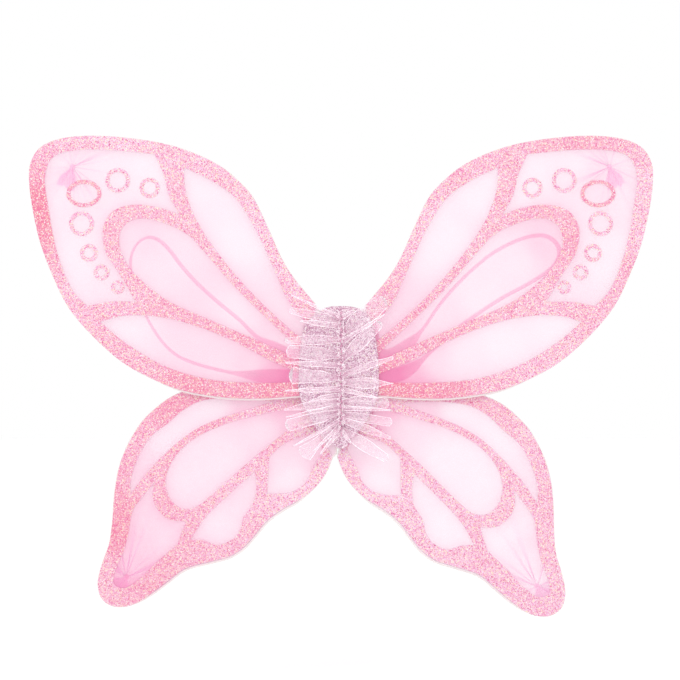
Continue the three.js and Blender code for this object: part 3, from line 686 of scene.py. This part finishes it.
def sleeve(kind, name):
    side, y = SIDES[name], Y[kind]
    place = placing(kind, side)
    line = spline(EDGES[kind], 2.4)
    inner = [line[-1]] + [Vector(p) for p in INNER_ENDS[f"{kind}_{name}"]] + [line[0]]
    line += [p for a, b in zip(inner, inner[1:]) for p in spaced([a, b], 4)[:-1]][1:]
    edge = ring_of([place(p) for p in line], clockwise=False)
    hub = place(KNOTS[kind])
    pull, main = PUCKERS[kind]
    main = math.radians(main)
    veins = [place(p) for window in WINDOWS[kind] for stretch in window for p in spline(stretch, 2)]
    near = kdtree.KDTree(len(veins))
    for i, p in enumerate(veins):
        near.insert((p.x, p.y, 0), i)
    near.balance()

    def pucker(p):
        away = p - hub
        if away.length < 1e-6:
            return 0.0, 0.0
        way = math.atan2(away.y, -side * away.x)  # 0 points to the middle of the wings
        weight = 0.4 + 0.6 * (0.5 + 0.5 * math.cos(way - main))
        ray = wander(math.cos(way) * 8, math.sin(way) * 8, side + 3.0)
        return ray, weight * math.exp(-away.length / pull) * fade(away.length, 0, 3)

    def depth_of(p, inset, front):
        ray, strength = pucker(p)
        close = math.exp(-((p - hub).length / 3.0) ** 2)
        ripple = 0.7 * ray * strength
        if front > 0:
            ripple = max(ripple, -0.03)  # the front layer only sinks, because rings and print lie on it
        return y - front * SLEEVE_DEPTH * round_edge(inset) * (1 - 0.6 * close) + ripple + 0.3 * close

    obj, facts = fan(f"{kind}_{name}_sleeve", edge, hub, depth_of, rings=54)
    spots, tint, crease, rim = TINTS[f"{kind}_{name}"], [], [], []
    for p, inset, front in facts:
        u, z = side * (p.x - SHIFT[kind]), p.y
        halo = math.exp(-near.find((p.x, p.y, 0))[2] / 3.2)
        tint.append(max(0.0, blot(spots, u, z) + 0.22 * halo + 0.05 * wander(p.x * 0.05, p.y * 0.05)))
        ray, strength = pucker(p)
        crease.append(min(1.0, fade(ray, -0.05, 0.4) * strength * 2.1))
        rim.append(1 - fade(inset, 1.0, 2.0))
    for key, values in (("tint", tint), ("crease", crease), ("rim", rim)):
        mark(obj, key, values)
    finished(obj, mesh_cloth, 80)
    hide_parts(f"{kind}_{name}_mesh")
    xs, zs = [p.x for p in edge], [p.y for p in edge]
    flat = ((max(xs) - min(xs)) * MM, (max(zs) - min(zs)) * MM)
    bunch(kind, name)
    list(fold_span(kind, name))
    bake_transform(obj)
    return obj, flat


for kind, name in WINGS:
    made, flat = sleeve(kind, name)
    print(made.name, len(made.data.polygons), "faces, cut flat to", [round(v / MM) for v in flat], "mm")

# %% [markdown]
# ## Wire hoops
# Each hoop is one length of soft wire. It runs round the wing inside the sleeve, and its two ends go on
# between the panel and the pad, where they are bound together. A round bevel on a smooth line is the usual
# way to make wire, and the line is then turned into a mesh.

# %% Hoops
WIRE_RADIUS, WIRE_INSET, UPPER_WIRE_START = 1.0, 1.7, 26


def hoop(kind, name):
    side, y = SIDES[name], Y[kind]
    place = placing(kind, side)
    around = offset(spline(EDGES[kind], 3), -WIRE_INSET)
    keep = [p for p in around if kind == "lower" or p.x > UPPER_WIRE_START]
    inside = [Vector((side * u + SHIFT[kind], z)) for u, z in ROUTES[kind]]
    line = [place(p) for p in keep]
    route = spline([line[-1]] + inside[::-1] + [line[0]], 3)[1:-1]
    bpy.ops.curve.primitive_bezier_curve_add()
    obj = bpy.context.object
    obj.name = f"{kind}_{name}_hoop"
    curve = obj.data
    curve.splines.clear()
    wire = curve.splines.new("POLY")
    ring = line + route
    wire.points.add(len(ring) - 1)
    for point, p in zip(wire.points, ring):
        point.co = (p.x * MM, y * MM, p.y * MM, 1)
    wire.use_cyclic_u = True
    curve.dimensions = "3D"
    curve.bevel_depth = WIRE_RADIUS * MM
    curve.bevel_resolution = 3
    take(obj)
    bpy.ops.object.convert(target="MESH")
    obj = bpy.context.object
    settle()
    finished(obj, wire_coat, 80)
    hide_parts(f"{kind}_{name}_wire", f"{kind}_{name}_wire_root")
    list(fold_span(kind, name))
    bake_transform(obj)
    return obj


deselect()
for kind, name in WINGS:
    made = hoop(kind, name)
    print(made.name, len(made.data.polygons), "faces")

# %% [markdown]
# ## Glitter print
# The print is one layer of flock in the shape of a butterfly's veins, with clear windows between. Its line is
# drawn a little ragged, as glue spreads, and the sheet is cut into strips along the fold so that it can bend.

# %% Print and windows
PRINT_THICKNESS = 0.3
DEEP_TONE = {
    "upper_left": [
        (244, 140, 1.05), (232, 188, .3), (190, 192, .05), (115, 180, .12), (60, 120, .05), (40, 82, .15),
        (125, 140, .3), (60, 55, .4), (183, 55, .3), (60, 24, .6), (208, 60, .2), (160, 12, .4),
        (120, -3, .85), (50, -7, .95)],
    "upper_right": [
        (244, 140, .1), (190, 195, .5), (115, 180, .3), (60, 120, .1), (40, 82, .35), (185, 118, .5),
        (60, 24, .55), (183, 55, .25), (160, 12, .1), (120, -3, .35), (80, -7, .85), (50, -7, 1.05)],
    "lower_left": [
        (120, -12, .75), (160, -50, .4), (175, -120, .85), (185, -155, .3), (150, -160, .5),
        (80, -130, .3), (30, -88, .02), (140, -65, .45), (80, -80, .2), (60, -40, .3)],
    "lower_right": [
        (120, -12, .4), (160, -50, .15), (175, -120, .25), (150, -160, .15), (30, -88, .05), (80, -80, .1),
        (60, -40, .25)]}


def ragged(line, amount=0.22, seed=0.0):
    return [p + Vector((wander(p.x * 0.8, p.y * 0.8, seed), wander(p.x * 0.8, p.y * 0.8, seed + 9))) * amount
            for p in line]


def bare_rim(kind):
    """How far the print keeps from the sleeve's edge: far where the sleeve turns under, at the bottom."""
    def rule(p):
        if kind == "upper":
            return -0.4 - 1.3 * fade(-p.y, -6, 1) * (1 - fade(p.x, 120, 150))
        return -0.6 - 1.8 * fade(-p.y, 88, 100) * (1 - fade(p.x, 140, 165))
    return rule


def deep_toned(obj, kind, name):
    spots, side = DEEP_TONE[f"{kind}_{name}"], SIDES[name]
    mark(obj, "flock", [blot(spots, side * (v.co.x / MM - SHIFT[kind]), v.co.z / MM)
                        for v in obj.data.vertices])


def vein_print(kind, name):
    place = placing(kind, SIDES[name])
    outer = offset(spline(EDGES[kind], 1.8), bare_rim(kind))
    outer = [place(p) for p in outer]
    outer += spaced([outer[-1], outer[0]], 3)[1:-1]
    lines = [ragged(outer)]
    for window in WINDOWS[kind]:
        lines.append(ragged([place(p) for stretch in window for p in spline(stretch, 1.8)[:-1]], seed=3.0))
    start, end = fold_span(kind, name)
    along = (end - start).normalized()
    cuts = [(start.lerp(end, k / 7), along) for k in range(-2, 10)]
    obj = filled(f"{kind}_{name}_veins", lines, PRINT_Y[kind] + PRINT_THICKNESS, PRINT_THICKNESS, cuts)
    deep_toned(obj, kind, name)
    finished(obj, pink_glitter, 40)
    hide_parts(f"{kind}_{name}_print")
    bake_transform(obj)
    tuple(start)
    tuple(end)
    return obj


for kind, name in WINGS:
    made = vein_print(kind, name)
    print(made.name, len(made.data.polygons), "faces")

# %% [markdown]
# ## Rings
# Seven glitter rings trim each upper wing's tip. A ring starts as a filled circle at its size; an inset leaves
# its band, the middle is deleted, and the band gets the print's thickness. The glue's edge is a little uneven.

# %% Rings of the tips
LARGE_RING = 12  # wider rings are deeper in tone


def ring(name, at, radii, y, width=3.1):
    deselect()
    bpy.ops.mesh.primitive_circle_add(vertices=56, radius=radii[0] * MM, fill_type="NGON",
                                      location=(at.x * MM, y * MM, at.y * MM), rotation=(math.pi / 2, 0, 0))
    obj = bpy.context.object
    obj.name = name
    obj.scale.y = radii[1] / radii[0]
    settle()
    edit_all()
    bpy.ops.mesh.inset(thickness=width * MM)
    bpy.ops.mesh.delete(type="FACE")
    bpy.ops.object.mode_set(mode="OBJECT")
    for v in obj.data.vertices:
        away = Vector((v.co.x, v.co.z)) / MM - at
        away *= 1 + 0.035 * wander(v.co.x / MM * 0.9, v.co.z / MM * 0.9, 2.0)
        v.co.x, v.co.z = (at.x + away.x) * MM, (at.y + away.y) * MM
    if obj.data.polygons[0].normal.y > 0:
        obj.data.flip_normals()
    apply(obj, "SOLIDIFY", thickness=PRINT_THICKNESS * MM, offset=1.0)
    mark(obj, "flock", 0.65 if radii[0] > LARGE_RING else 0.12)
    return finished(obj, pink_glitter, 40)


for name, side in SIDES.items():
    for i, (u, z, half_width, half_height) in enumerate(RINGS, 1):
        made = ring(f"{name}_tip_ring_{i}", Vector((side * u, z)), (half_width, half_height),
                    PRINT_Y["upper"] + PRINT_THICKNESS)
        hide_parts(f"upper_{name}_ring_{i}")
        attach(made, f"upper_{name}_wing")
print("rings made")

# %% [markdown]
# ## Tip knots
# The end of each sleeve is drawn together behind the wing and wound with thread. Each turn of thread is a
# torus at its own tilt, over a small bunch of cloth.

# %% Knots
def knot(kind, name):
    side = SIDES[name]
    at = placing(kind, side)(KNOTS[kind])
    low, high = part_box(f"{kind}_{name}_tip_knot")
    middle_y = (low[1] + high[1]) / 2
    parts = []
    for k, (size, tilt) in enumerate([(1.9, 8), (2.1, -12), (2.0, 25), (1.7, -30)]):
        deselect()
        turned = (math.pi / 2 + math.radians(tilt), 0, k)
        place = (at.x * MM, middle_y + (k - 1.5) * 0.5 * MM, at.y * MM)
        bpy.ops.mesh.primitive_torus_add(major_segments=28, minor_segments=8, major_radius=size * MM,
                                         minor_radius=0.4 * MM, rotation=turned, location=place)
        turn = bpy.context.object
        settle()
        parts.append(turn)
    deselect()
    bpy.ops.mesh.primitive_uv_sphere_add(segments=20, ring_count=12, radius=1.8 * MM)
    core = bpy.context.object
    for v in core.data.vertices:
        crease = 1 + 0.22 * math.sin(9 * math.atan2(v.co.z, v.co.x))
        v.co = Vector((v.co.x * crease + at.x * MM, v.co.y * 0.7 + middle_y, v.co.z * crease + at.y * MM))
    parts.append(core)
    obj = finished(joined(parts, f"{kind}_{name}_knot"), pale_thread, 60)
    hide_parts(f"{kind}_{name}_tip_knot")
    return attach(obj, f"{kind}_{name}_wing")


for kind, name in WINGS:
    knot(kind, name)
print("knots made")

# %% [markdown]
# ## Panel and pad
# The wires' bundle is hidden between two shields of cloth. The front one is silver glitter cloth, and its top
# is turned over to the back. The rear one is felt with a little filling, flat where it lies on the wearer.

# %% Shield shapes
def shield(left, right, top, bottom, step=2.5):
    def half(w):
        return spline([(0, top), (12, top - 1), (21, top - 6), (w - 5, 47), (w - 2, 32), (w, 8), (w - 1, -11),
                       (w - 7, -24), (w - 14, -36), (w - 23, -46), (4, bottom + 1.5), (0, bottom)], step)
    return half(right) + [Vector((-p.x, p.y)) for p in half(left)[-2:0:-1]]


PANEL_TOP, PANEL_BOTTOM, PAD_BOTTOM, PAD_HALF = 60.5, -52.5, -53.5, 1.5
panel = filled("glitter_panel", [shield(33.8, 30.2, PANEL_TOP, PANEL_BOTTOM)], PANEL_Y, 0.9, bevel=0.25)
mark(panel, "flock", [0.2 + 0.45 * fade(-v.co.x / MM, -10, 20) if v.co.z > 0 else 0.15
                      for v in panel.data.vertices])
finished(panel, silver_glitter, 40)
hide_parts("front_panel")
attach(panel, "centre")
pad_line = shield(33.5, 33.5, PANEL_TOP, PAD_BOTTOM)


def pad_depth(p, inset, front):
    return -PAD_HALF - front * PAD_HALF * round_edge(inset)


pad, _ = fan("felt_pad", ring_of(pad_line, clockwise=False), Vector((0, 6)), pad_depth, rings=14)
finished(pad, pad_felt, 60)
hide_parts("back_pad")
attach(pad, "centre")
print("panel and pad made")

# %% The turned top
def turned_top(half_width=15.0, thickness=0.5):
    """The panel's cloth goes over the top of the wires and down a little way on the pad."""
    front, back, top = PANEL_Y - 0.35, 0.15, PANEL_TOP + 0.6
    path = [(front, top - 3.0), (front, top - 1.2), (front + 1.2, top), (-7.5, top + 0.3), (back - 1.0, top),
            (back, top - 1.2), (back, top - 5.0)]
    line = spline(path, 0.8)
    deselect()
    bpy.ops.mesh.primitive_plane_add(size=1, location=(0, line[0].x * MM, line[0].y * MM))
    obj = bpy.context.object
    obj.name = "turned_top"
    settle()
    start = Vector((0, line[0].x, line[0].y)) * MM
    for v in obj.data.vertices:
        v.co = start + Vector((math.copysign(half_width * MM, v.co.x), 0, 0))
    edit_all()
    bpy.ops.mesh.remove_doubles(threshold=0.1 * MM)
    for a, b in zip(line, line[1:]):
        step = (b - a) * MM
        bpy.ops.mesh.extrude_edges_move(TRANSFORM_OT_translate={"value": (0, step.x, step.y)})
    bpy.ops.mesh.select_all(action="SELECT")
    bpy.ops.mesh.subdivide(number_cuts=3)
    bpy.ops.object.mode_set(mode="OBJECT")
    for v in obj.data.vertices:
        v.co.z -= 2.1 * MM * abs(v.co.x / (half_width * MM)) ** 3.2
    apply(obj, "SOLIDIFY", thickness=thickness * MM, offset=0.0)
    mark(obj, "flock", 0.1)
    finished(obj, silver_glitter, 60)
    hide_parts("top_seam_tape")
    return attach(obj, "centre")


print(turned_top().name, "made")

# %% [markdown]
# ## Ruffle
# A strip of tulle is gathered on one upright line, so it stands in flat pleats to both sides. Each pleat is a
# tongue of doubled tulle: narrow where the thread holds it, wider outside, and often pinched at its tip. Its
# folded edges look white because there the cloth is seen edge on, and a painted glow brightens them further.
# Towards the gather line the tulle is deeper pink, partly its bunching and partly painted shade. Small
# crinkles stand along the line itself.
# Each half is in two pieces, because the lowest pleats cross the line where the lower wing folds.

# %% Pleats
PLEATS = {  # root height, then the tip's distance and height, half width at the middle and tip, layer, curl
    "left": [
        (52, 40, 70.4, 1.3, 0.4, 3, 3), (50, 41.6, 58.4, 3.6, 2.6, 1, 2), (45.6, 33, 49.6, 2.2, 0.6, 2, 4),
        (34.7, 44.8, 34, 4.0, 2.2, 3, 5), (21.9, 43.7, 25.6, 5.6, 5.2, 1, 2),
        (13.9, 44.6, 16.3, 2.2, 0.7, 3, 5), (4, 41.6, 6.4, 5.0, 6.8, 2, 3),
        (-4.8, 44.8, -6.1, 2.0, 0.5, 3, 5), (-10, 26, -15, 2.6, 0.6, 1, 2),
        (-14, 45.9, -21.3, 3.6, 0.8, 2, 3), (-19, 44, -27, 1.6, 0.5, 3, 4),
        (-23.2, 44.3, -34.4, 4.6, 5.0, 1, 2), (-29.6, 38.4, -50.4, 1.2, 0.4, 3, 4),
        (-31, 31.2, -58.4, 3.4, 6.8, 0, 1), (-34, 21.6, -53.6, 1.3, 0.4, 2, 4),
        (-38, 16.8, -56.8, 1.4, 0.5, 3, 3)],
    "right": [
        (52, 10, 58, 1.8, 0.9, 2, 2), (39, 35.5, 67, 7.6, 6.4, 1, 2), (33, 35, 55, 1.4, 0.5, 3, 3),
        (18.4, 32, 48.5, 5.2, 3.6, 2, 4), (5.9, 42, 20.3, 2.6, 1.3, 3, 5), (0.5, 42, -0.2, 4.4, 0.5, 2, 4),
        (-5, 30, -12, 1.6, 0.6, 3, 2), (-15, 38.5, -16, 5.0, 4.0, 1, 3), (-20, 40, -21.6, 1.6, 0.6, 3, 4),
        (-25, 41, -31.5, 3.6, 3.4, 1, 2), (-29, 40, -44, 3.2, 1.2, 3, 4),
        (-36.8, 37.6, -60.8, 5.0, 3.4, 1, 2), (-38, 8, -48, 1.4, 0.6, 3, 3)]}
TOP_Y = PANEL_Y - 1.2


def pleat(side, number, root, tip_x, tip_z, half, tip_half, layer, curl, steps=26, around=36):
    """One tongue of doubled tulle, as a closed flattened tube."""
    start, end = Vector((0.6, root)), Vector((tip_x, tip_z))
    bend = (start + end) / 2 + Vector((0, 1.8 * wander(number * 3.7, side)))
    points, rim, gather = [], [], []
    for i in range(steps + 1):
        t = i / steps
        a, b = start.lerp(bend, t), bend.lerp(end, t)
        mid, along = a.lerp(b, t), (b - a).normalized()
        up = Vector((-along.y, along.x))
        width = (2.2 + (half - 2.2) * fade(t, 0, 0.4)) * (1 - fade(t, 0.5, 1)) + tip_half * fade(t, 0.5, 1)
        thick = 0.3 + 0.8 * (1 - fade(t, 0, 0.35))
        lift = layer * 0.9 + 1.2 * math.sin(t * math.pi) + curl * t ** 2.2 + 0.4 * wander(number, t * 5, 2)
        for k in range(around):
            a = 2 * math.pi * k / around
            c = math.cos(a)
            wave = 0.3 * math.sin(a * 3 + number) * (1 - fade(t, 0, 0.8)) + 0.2 * math.cos(a * 2 + number * 2)
            frayed = 1 + 0.09 * wander(t * 9, number, math.copysign(1, c)) * t
            p = mid + up * (c * width * frayed) - along * ((0.8 + 0.35 * tip_half) * c * c * fade(t, 0.85, 1))
            depth = TOP_Y - 0.5 - lift - math.sin(a) * thick - wave
            points.append(Vector((side * max(p.x, 0.25), min(depth, TOP_Y - 0.1), p.y)) * MM)
            edge = 0.34 / max(width, 0.6)  # the pale fold keeps its width on narrow and wide tongues
            crease = 0.5 * math.exp(-((c - 0.5 * math.sin(number * 2.4)) / edge) ** 2) * (a < math.pi)
            seen = 0.6 + 0.4 * fade(wander(t * 3.1, number * 2.3, math.copysign(2, c)), -0.35, 0.35)
            fold = max(fade(abs(c), 1 - 1.5 * edge, 1 - 0.3 * edge), fade(t, 0.98, 1) * 0.6)
            rim.append(max(fold * seen, crease * (1 - t * 0.5)))
            gather.append(1 - fade(t, 0.0, 0.3))
    obj = new_mesh(f"pleat_{number}", points, faces=tube_faces(steps, around))
    mark(obj, "rim", rim)
    mark(obj, "gather", gather)
    return obj

# %% Both halves
def crinkles(side):
    """Short stubs of tulle that stand up along the gather line."""
    made = []
    for k in range(24):
        z = 57 - k * 4.1 + wander(k * 1.7, side)
        way = 2.2 * math.sin(k * 2.3 + side)
        made.append(pleat(side, 100 + k, z, 2.8 + 1.2 * math.sin(k * 1.9), z + way - 0.8, 0.9, 0.6, 3.2, 0.4,
                          steps=8, around=12))
    return made


LOWEST = -30  # tongues whose tips are lower than this cross the lower wing's fold line
KEPT, LOWER_KEPT = 0.62, 0.2  # how much of its width each part keeps when its wing is folded

for name, side in SIDES.items():
    tongues = [(facts[2] < LOWEST, pleat(side, n, *facts)) for n, facts in enumerate(PLEATS[name], 1)]
    parts = [tongue for low, tongue in tongues if not low] + crinkles(side)
    low_parts = [tongue for low, tongue in tongues if low]
    ruffle = finished(joined(parts, f"{name}_ruffle"), tulle, 70)
    hem = finished(joined(low_parts, f"{name}_lower_ruffle"), tulle, 70)
    doubled = sum(p.area for piece in (ruffle, hem) for p in piece.data.polygons) / 2
    print(ruffle.name, "cloth in square mm", round(doubled / MM / MM))
    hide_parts(f"ruffle_{name}")
    for piece, kept in ((ruffle, KEPT), (hem, LOWER_KEPT)):
        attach(piece, "centre")
        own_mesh(piece)

# %% [markdown]
# ## Gather thread
# The ruffle is held by one line of running stitches. One stitch is a short rod with rounded ends, made again
# for each place on the line.

# %% Stitches
def stitch(place, length, radius=0.3, lean=0.0):
    deselect()
    bpy.ops.mesh.primitive_cylinder_add(vertices=10, radius=radius * MM, depth=length * MM)
    obj = bpy.context.object
    apply(obj, "BEVEL", width=radius * 0.7 * MM, segments=2, limit_method="ANGLE")
    obj.data.transform(Matrix.Translation(place * MM) @ Matrix.Rotation(lean, 4, "Y"))
    return obj


THREAD_Y, THREAD_TOP, THREAD_PITCH = TOP_Y - 4.4, 56, 4.4
run = [stitch(Vector((0.5 * math.sin(k * 2.1), THREAD_Y, THREAD_TOP - k * THREAD_PITCH)), 2.6, 0.25,
              0.5 * math.sin(k * 1.3)) for k in range(23)]
thread = finished(joined(run, "gather_stitches"), thread_fibre, 60)
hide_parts("gather_thread")
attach(thread, "centre")
print("gather thread made")

# %% [markdown]
# ## Pad seam
# A sewn pad shows a row of stitches a little way in from its edge. The row follows the pad's own outline, and
# each stitch is turned to lie along it.

# %% The seam round the pad
SEAM_INSET, SEAM_PITCH = 3.0, 4.0
seam = spaced(offset(pad_line, -SEAM_INSET, closed=True), SEAM_PITCH)
run = []
for a, b in zip(seam, seam[1:]):
    way = b - a
    run.append(stitch(Vector(((a.x + b.x) / 2, 0.05, (a.y + b.y) / 2)), 2.7, 0.3, math.atan2(way.x, way.y)))
pad_seam = finished(joined(run, "pad_seam"), pale_thread, 60)
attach(pad_seam, "centre")
print("pad seam made:", len(seam), "round the pad, from", [round(v) for v in seam[0]])

# %% [markdown]
# ## Arm loops
# Flat elastic webbing, sewn down at both ends between the pad and the wires. It leaves the pad flat, turns
# over, and stands on edge behind the wing. Webbing keeps its width, so it is made as one strip whose width
# direction turns along its length.

# %% Straps
LOOPS = {
    "left": [(22, 21.5), (35.5, 21.5), (38.5, 21.5), (50, 26), (67, 36.5), (82, 51), (99, 65), (116.5, 81),
             (128.5, 94.5), (138, 107), (147, 115), (155, 117), (163, 112.5), (168.5, 102), (168.5, 88),
             (164.5, 72), (158, 56.5), (151, 43.5), (142, 31), (131, 21.5), (117, 15.5), (101, 11), (84, 7.5),
             (64, 5.5), (50, 5.5), (38.5, 5), (35.5, 5), (22, 5)],
    "right": [(22, 21.5), (35.5, 21.5), (38.5, 21.5), (50, 27.5), (64, 41), (78, 61), (90, 75.5), (104, 89.5),
              (121, 103.5), (138.5, 113), (152, 117.5), (164, 118), (173, 112), (175.5, 103), (170, 93),
              (152, 80.5), (130, 68.5), (112, 57), (90, 41), (72.5, 25.5), (60, 14), (49, 7.5), (38.5, 5),
              (35.5, 5), (22, 5)]}
TWISTS = {"left": (22, 52, 28, 68), "right": (22, 52, 20, 52)}  # where a turn starts and ends, from each end
STRAP_WIDTH, STRAP_THICKNESS, HANG_Y = 11.0, 1.0, -2.6
LEAN = math.radians(79)  # the webbing leans a little when it stands on edge


def arm_loop(name):
    side = SIDES[name]
    line = [Vector((side * p.x, p.y)) for p in spline(LOOPS[name], 3)]
    points, along, sides = [], [], []
    gone, total = 0.0, sum((b - a).length for a, b in zip(line, line[1:]))
    section = [(-1, -1), (-0.6, -1), (0, -1), (0.6, -1), (1, -1), (1, 1), (0.6, 1), (0, 1), (-0.6, 1), (-1, 1)]
    t1, t2, t3, t4 = TWISTS[name]
    for i, p in enumerate(line):
        if i:
            gone += (p - line[i - 1]).length
        tangent = (line[min(i + 1, len(line) - 1)] - line[max(i - 1, 0)]).normalized()
        turned = min(fade(gone, t1, t2), fade(total - gone, t3, t4))
        flat = Vector((tangent.y, 0, -tangent.x))
        angle = turned * LEAN
        across = flat * math.cos(angle) + Vector((0, math.sin(angle), 0))
        through = Vector((tangent.x, 0, tangent.y)).cross(across).normalized()
        centre = Vector((p.x, TAB_Y + (HANG_Y - TAB_Y) * turned, p.y))
        for a, t in section:
            rounded = 0.75 if abs(a) == 1 else 1.0
            points.append((centre + across * a * STRAP_WIDTH / 2
                           + through * t * rounded * STRAP_THICKNESS / 2) * MM)
            along.append(gone * MM)
            sides.append((a + 1) * STRAP_WIDTH / 2 * MM)
    obj = new_mesh(f"{name}_strap_webbing", points, faces=tube_faces(len(line) - 1, len(section)))
    mark(obj, "along", along)
    mark(obj, "side", sides)
    finished(obj, elastic, 50)
    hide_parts(f"{name}_arm_loop", f"{name}_strap_upper_tab", f"{name}_strap_lower_tab")
    hinge = Vector(JOINTS[f"{name}_strap_swing"]["pos_m"])
    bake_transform(obj)
    print(obj.name, "length in mm", round(total))


for name in SIDES:
    arm_loop(name)

# %% [markdown]
# ## Pieces kept from the frame
# The tapes round the wires have their true shape already, so they only get a finish.

# %% Finish for the kept pieces
for name, node in frame["nodes"].items():
    if not node.hide_render:
        node.data.materials.clear()
        node.data.materials.append(tape_cloth)
        print("kept", name)

# %% [markdown]
# ## Room, light and camera
# A pale floor and an even white sky keep the pink clean, and two large soft lamps give the cloth its relief.

# %% Stage
deselect()
bpy.ops.mesh.primitive_plane_add(size=1, location=(0, 0, 0))
floor = bpy.context.object
floor.name = "floor"
floor.data.transform(Matrix.Translation((0, 0, -0.24)) @ Matrix.Scale(12, 4))
f = Finish("pale_floor")
floor.data.materials.append(f.set(Base_Color=(1.0, 1.0, 1.0), Roughness=0.9))

world = bpy.data.worlds.new("sky")
bpy.context.scene.world = world
world.use_nodes = True
world.node_tree.nodes["Background"].inputs[0].default_value = (1, 1, 1, 1)
world.node_tree.nodes["Background"].inputs[1].default_value = 1.0


def lamp(name, place, size, power):
    light = bpy.data.lights.new(name, "AREA")
    light.size, light.energy = size, power
    obj = bpy.data.objects.new(name, light)
    obj.location = place
    obj.rotation_euler = (Vector((0, 0, 0)) - Vector(place)).to_track_quat("-Z", "Y").to_euler()
    bpy.context.collection.objects.link(obj)


lamp("key", (-1.3, -1.6, 1.7), 1.2, 14)
lamp("fill", (1.8, -1.2, 0.9), 1.6, 6)

camera = bpy.data.cameras.new("camera")
camera.lens, camera.sensor_width = 158.8, 36
view = bpy.data.objects.new("camera", camera)
view.location = (-0.0008, -2.412, 0.0344)
view.rotation_euler = (math.pi / 2, 0, 0)
bpy.context.collection.objects.link(view)
bpy.context.scene.camera = view
bpy.context.scene.view_settings.view_transform = "Standard"
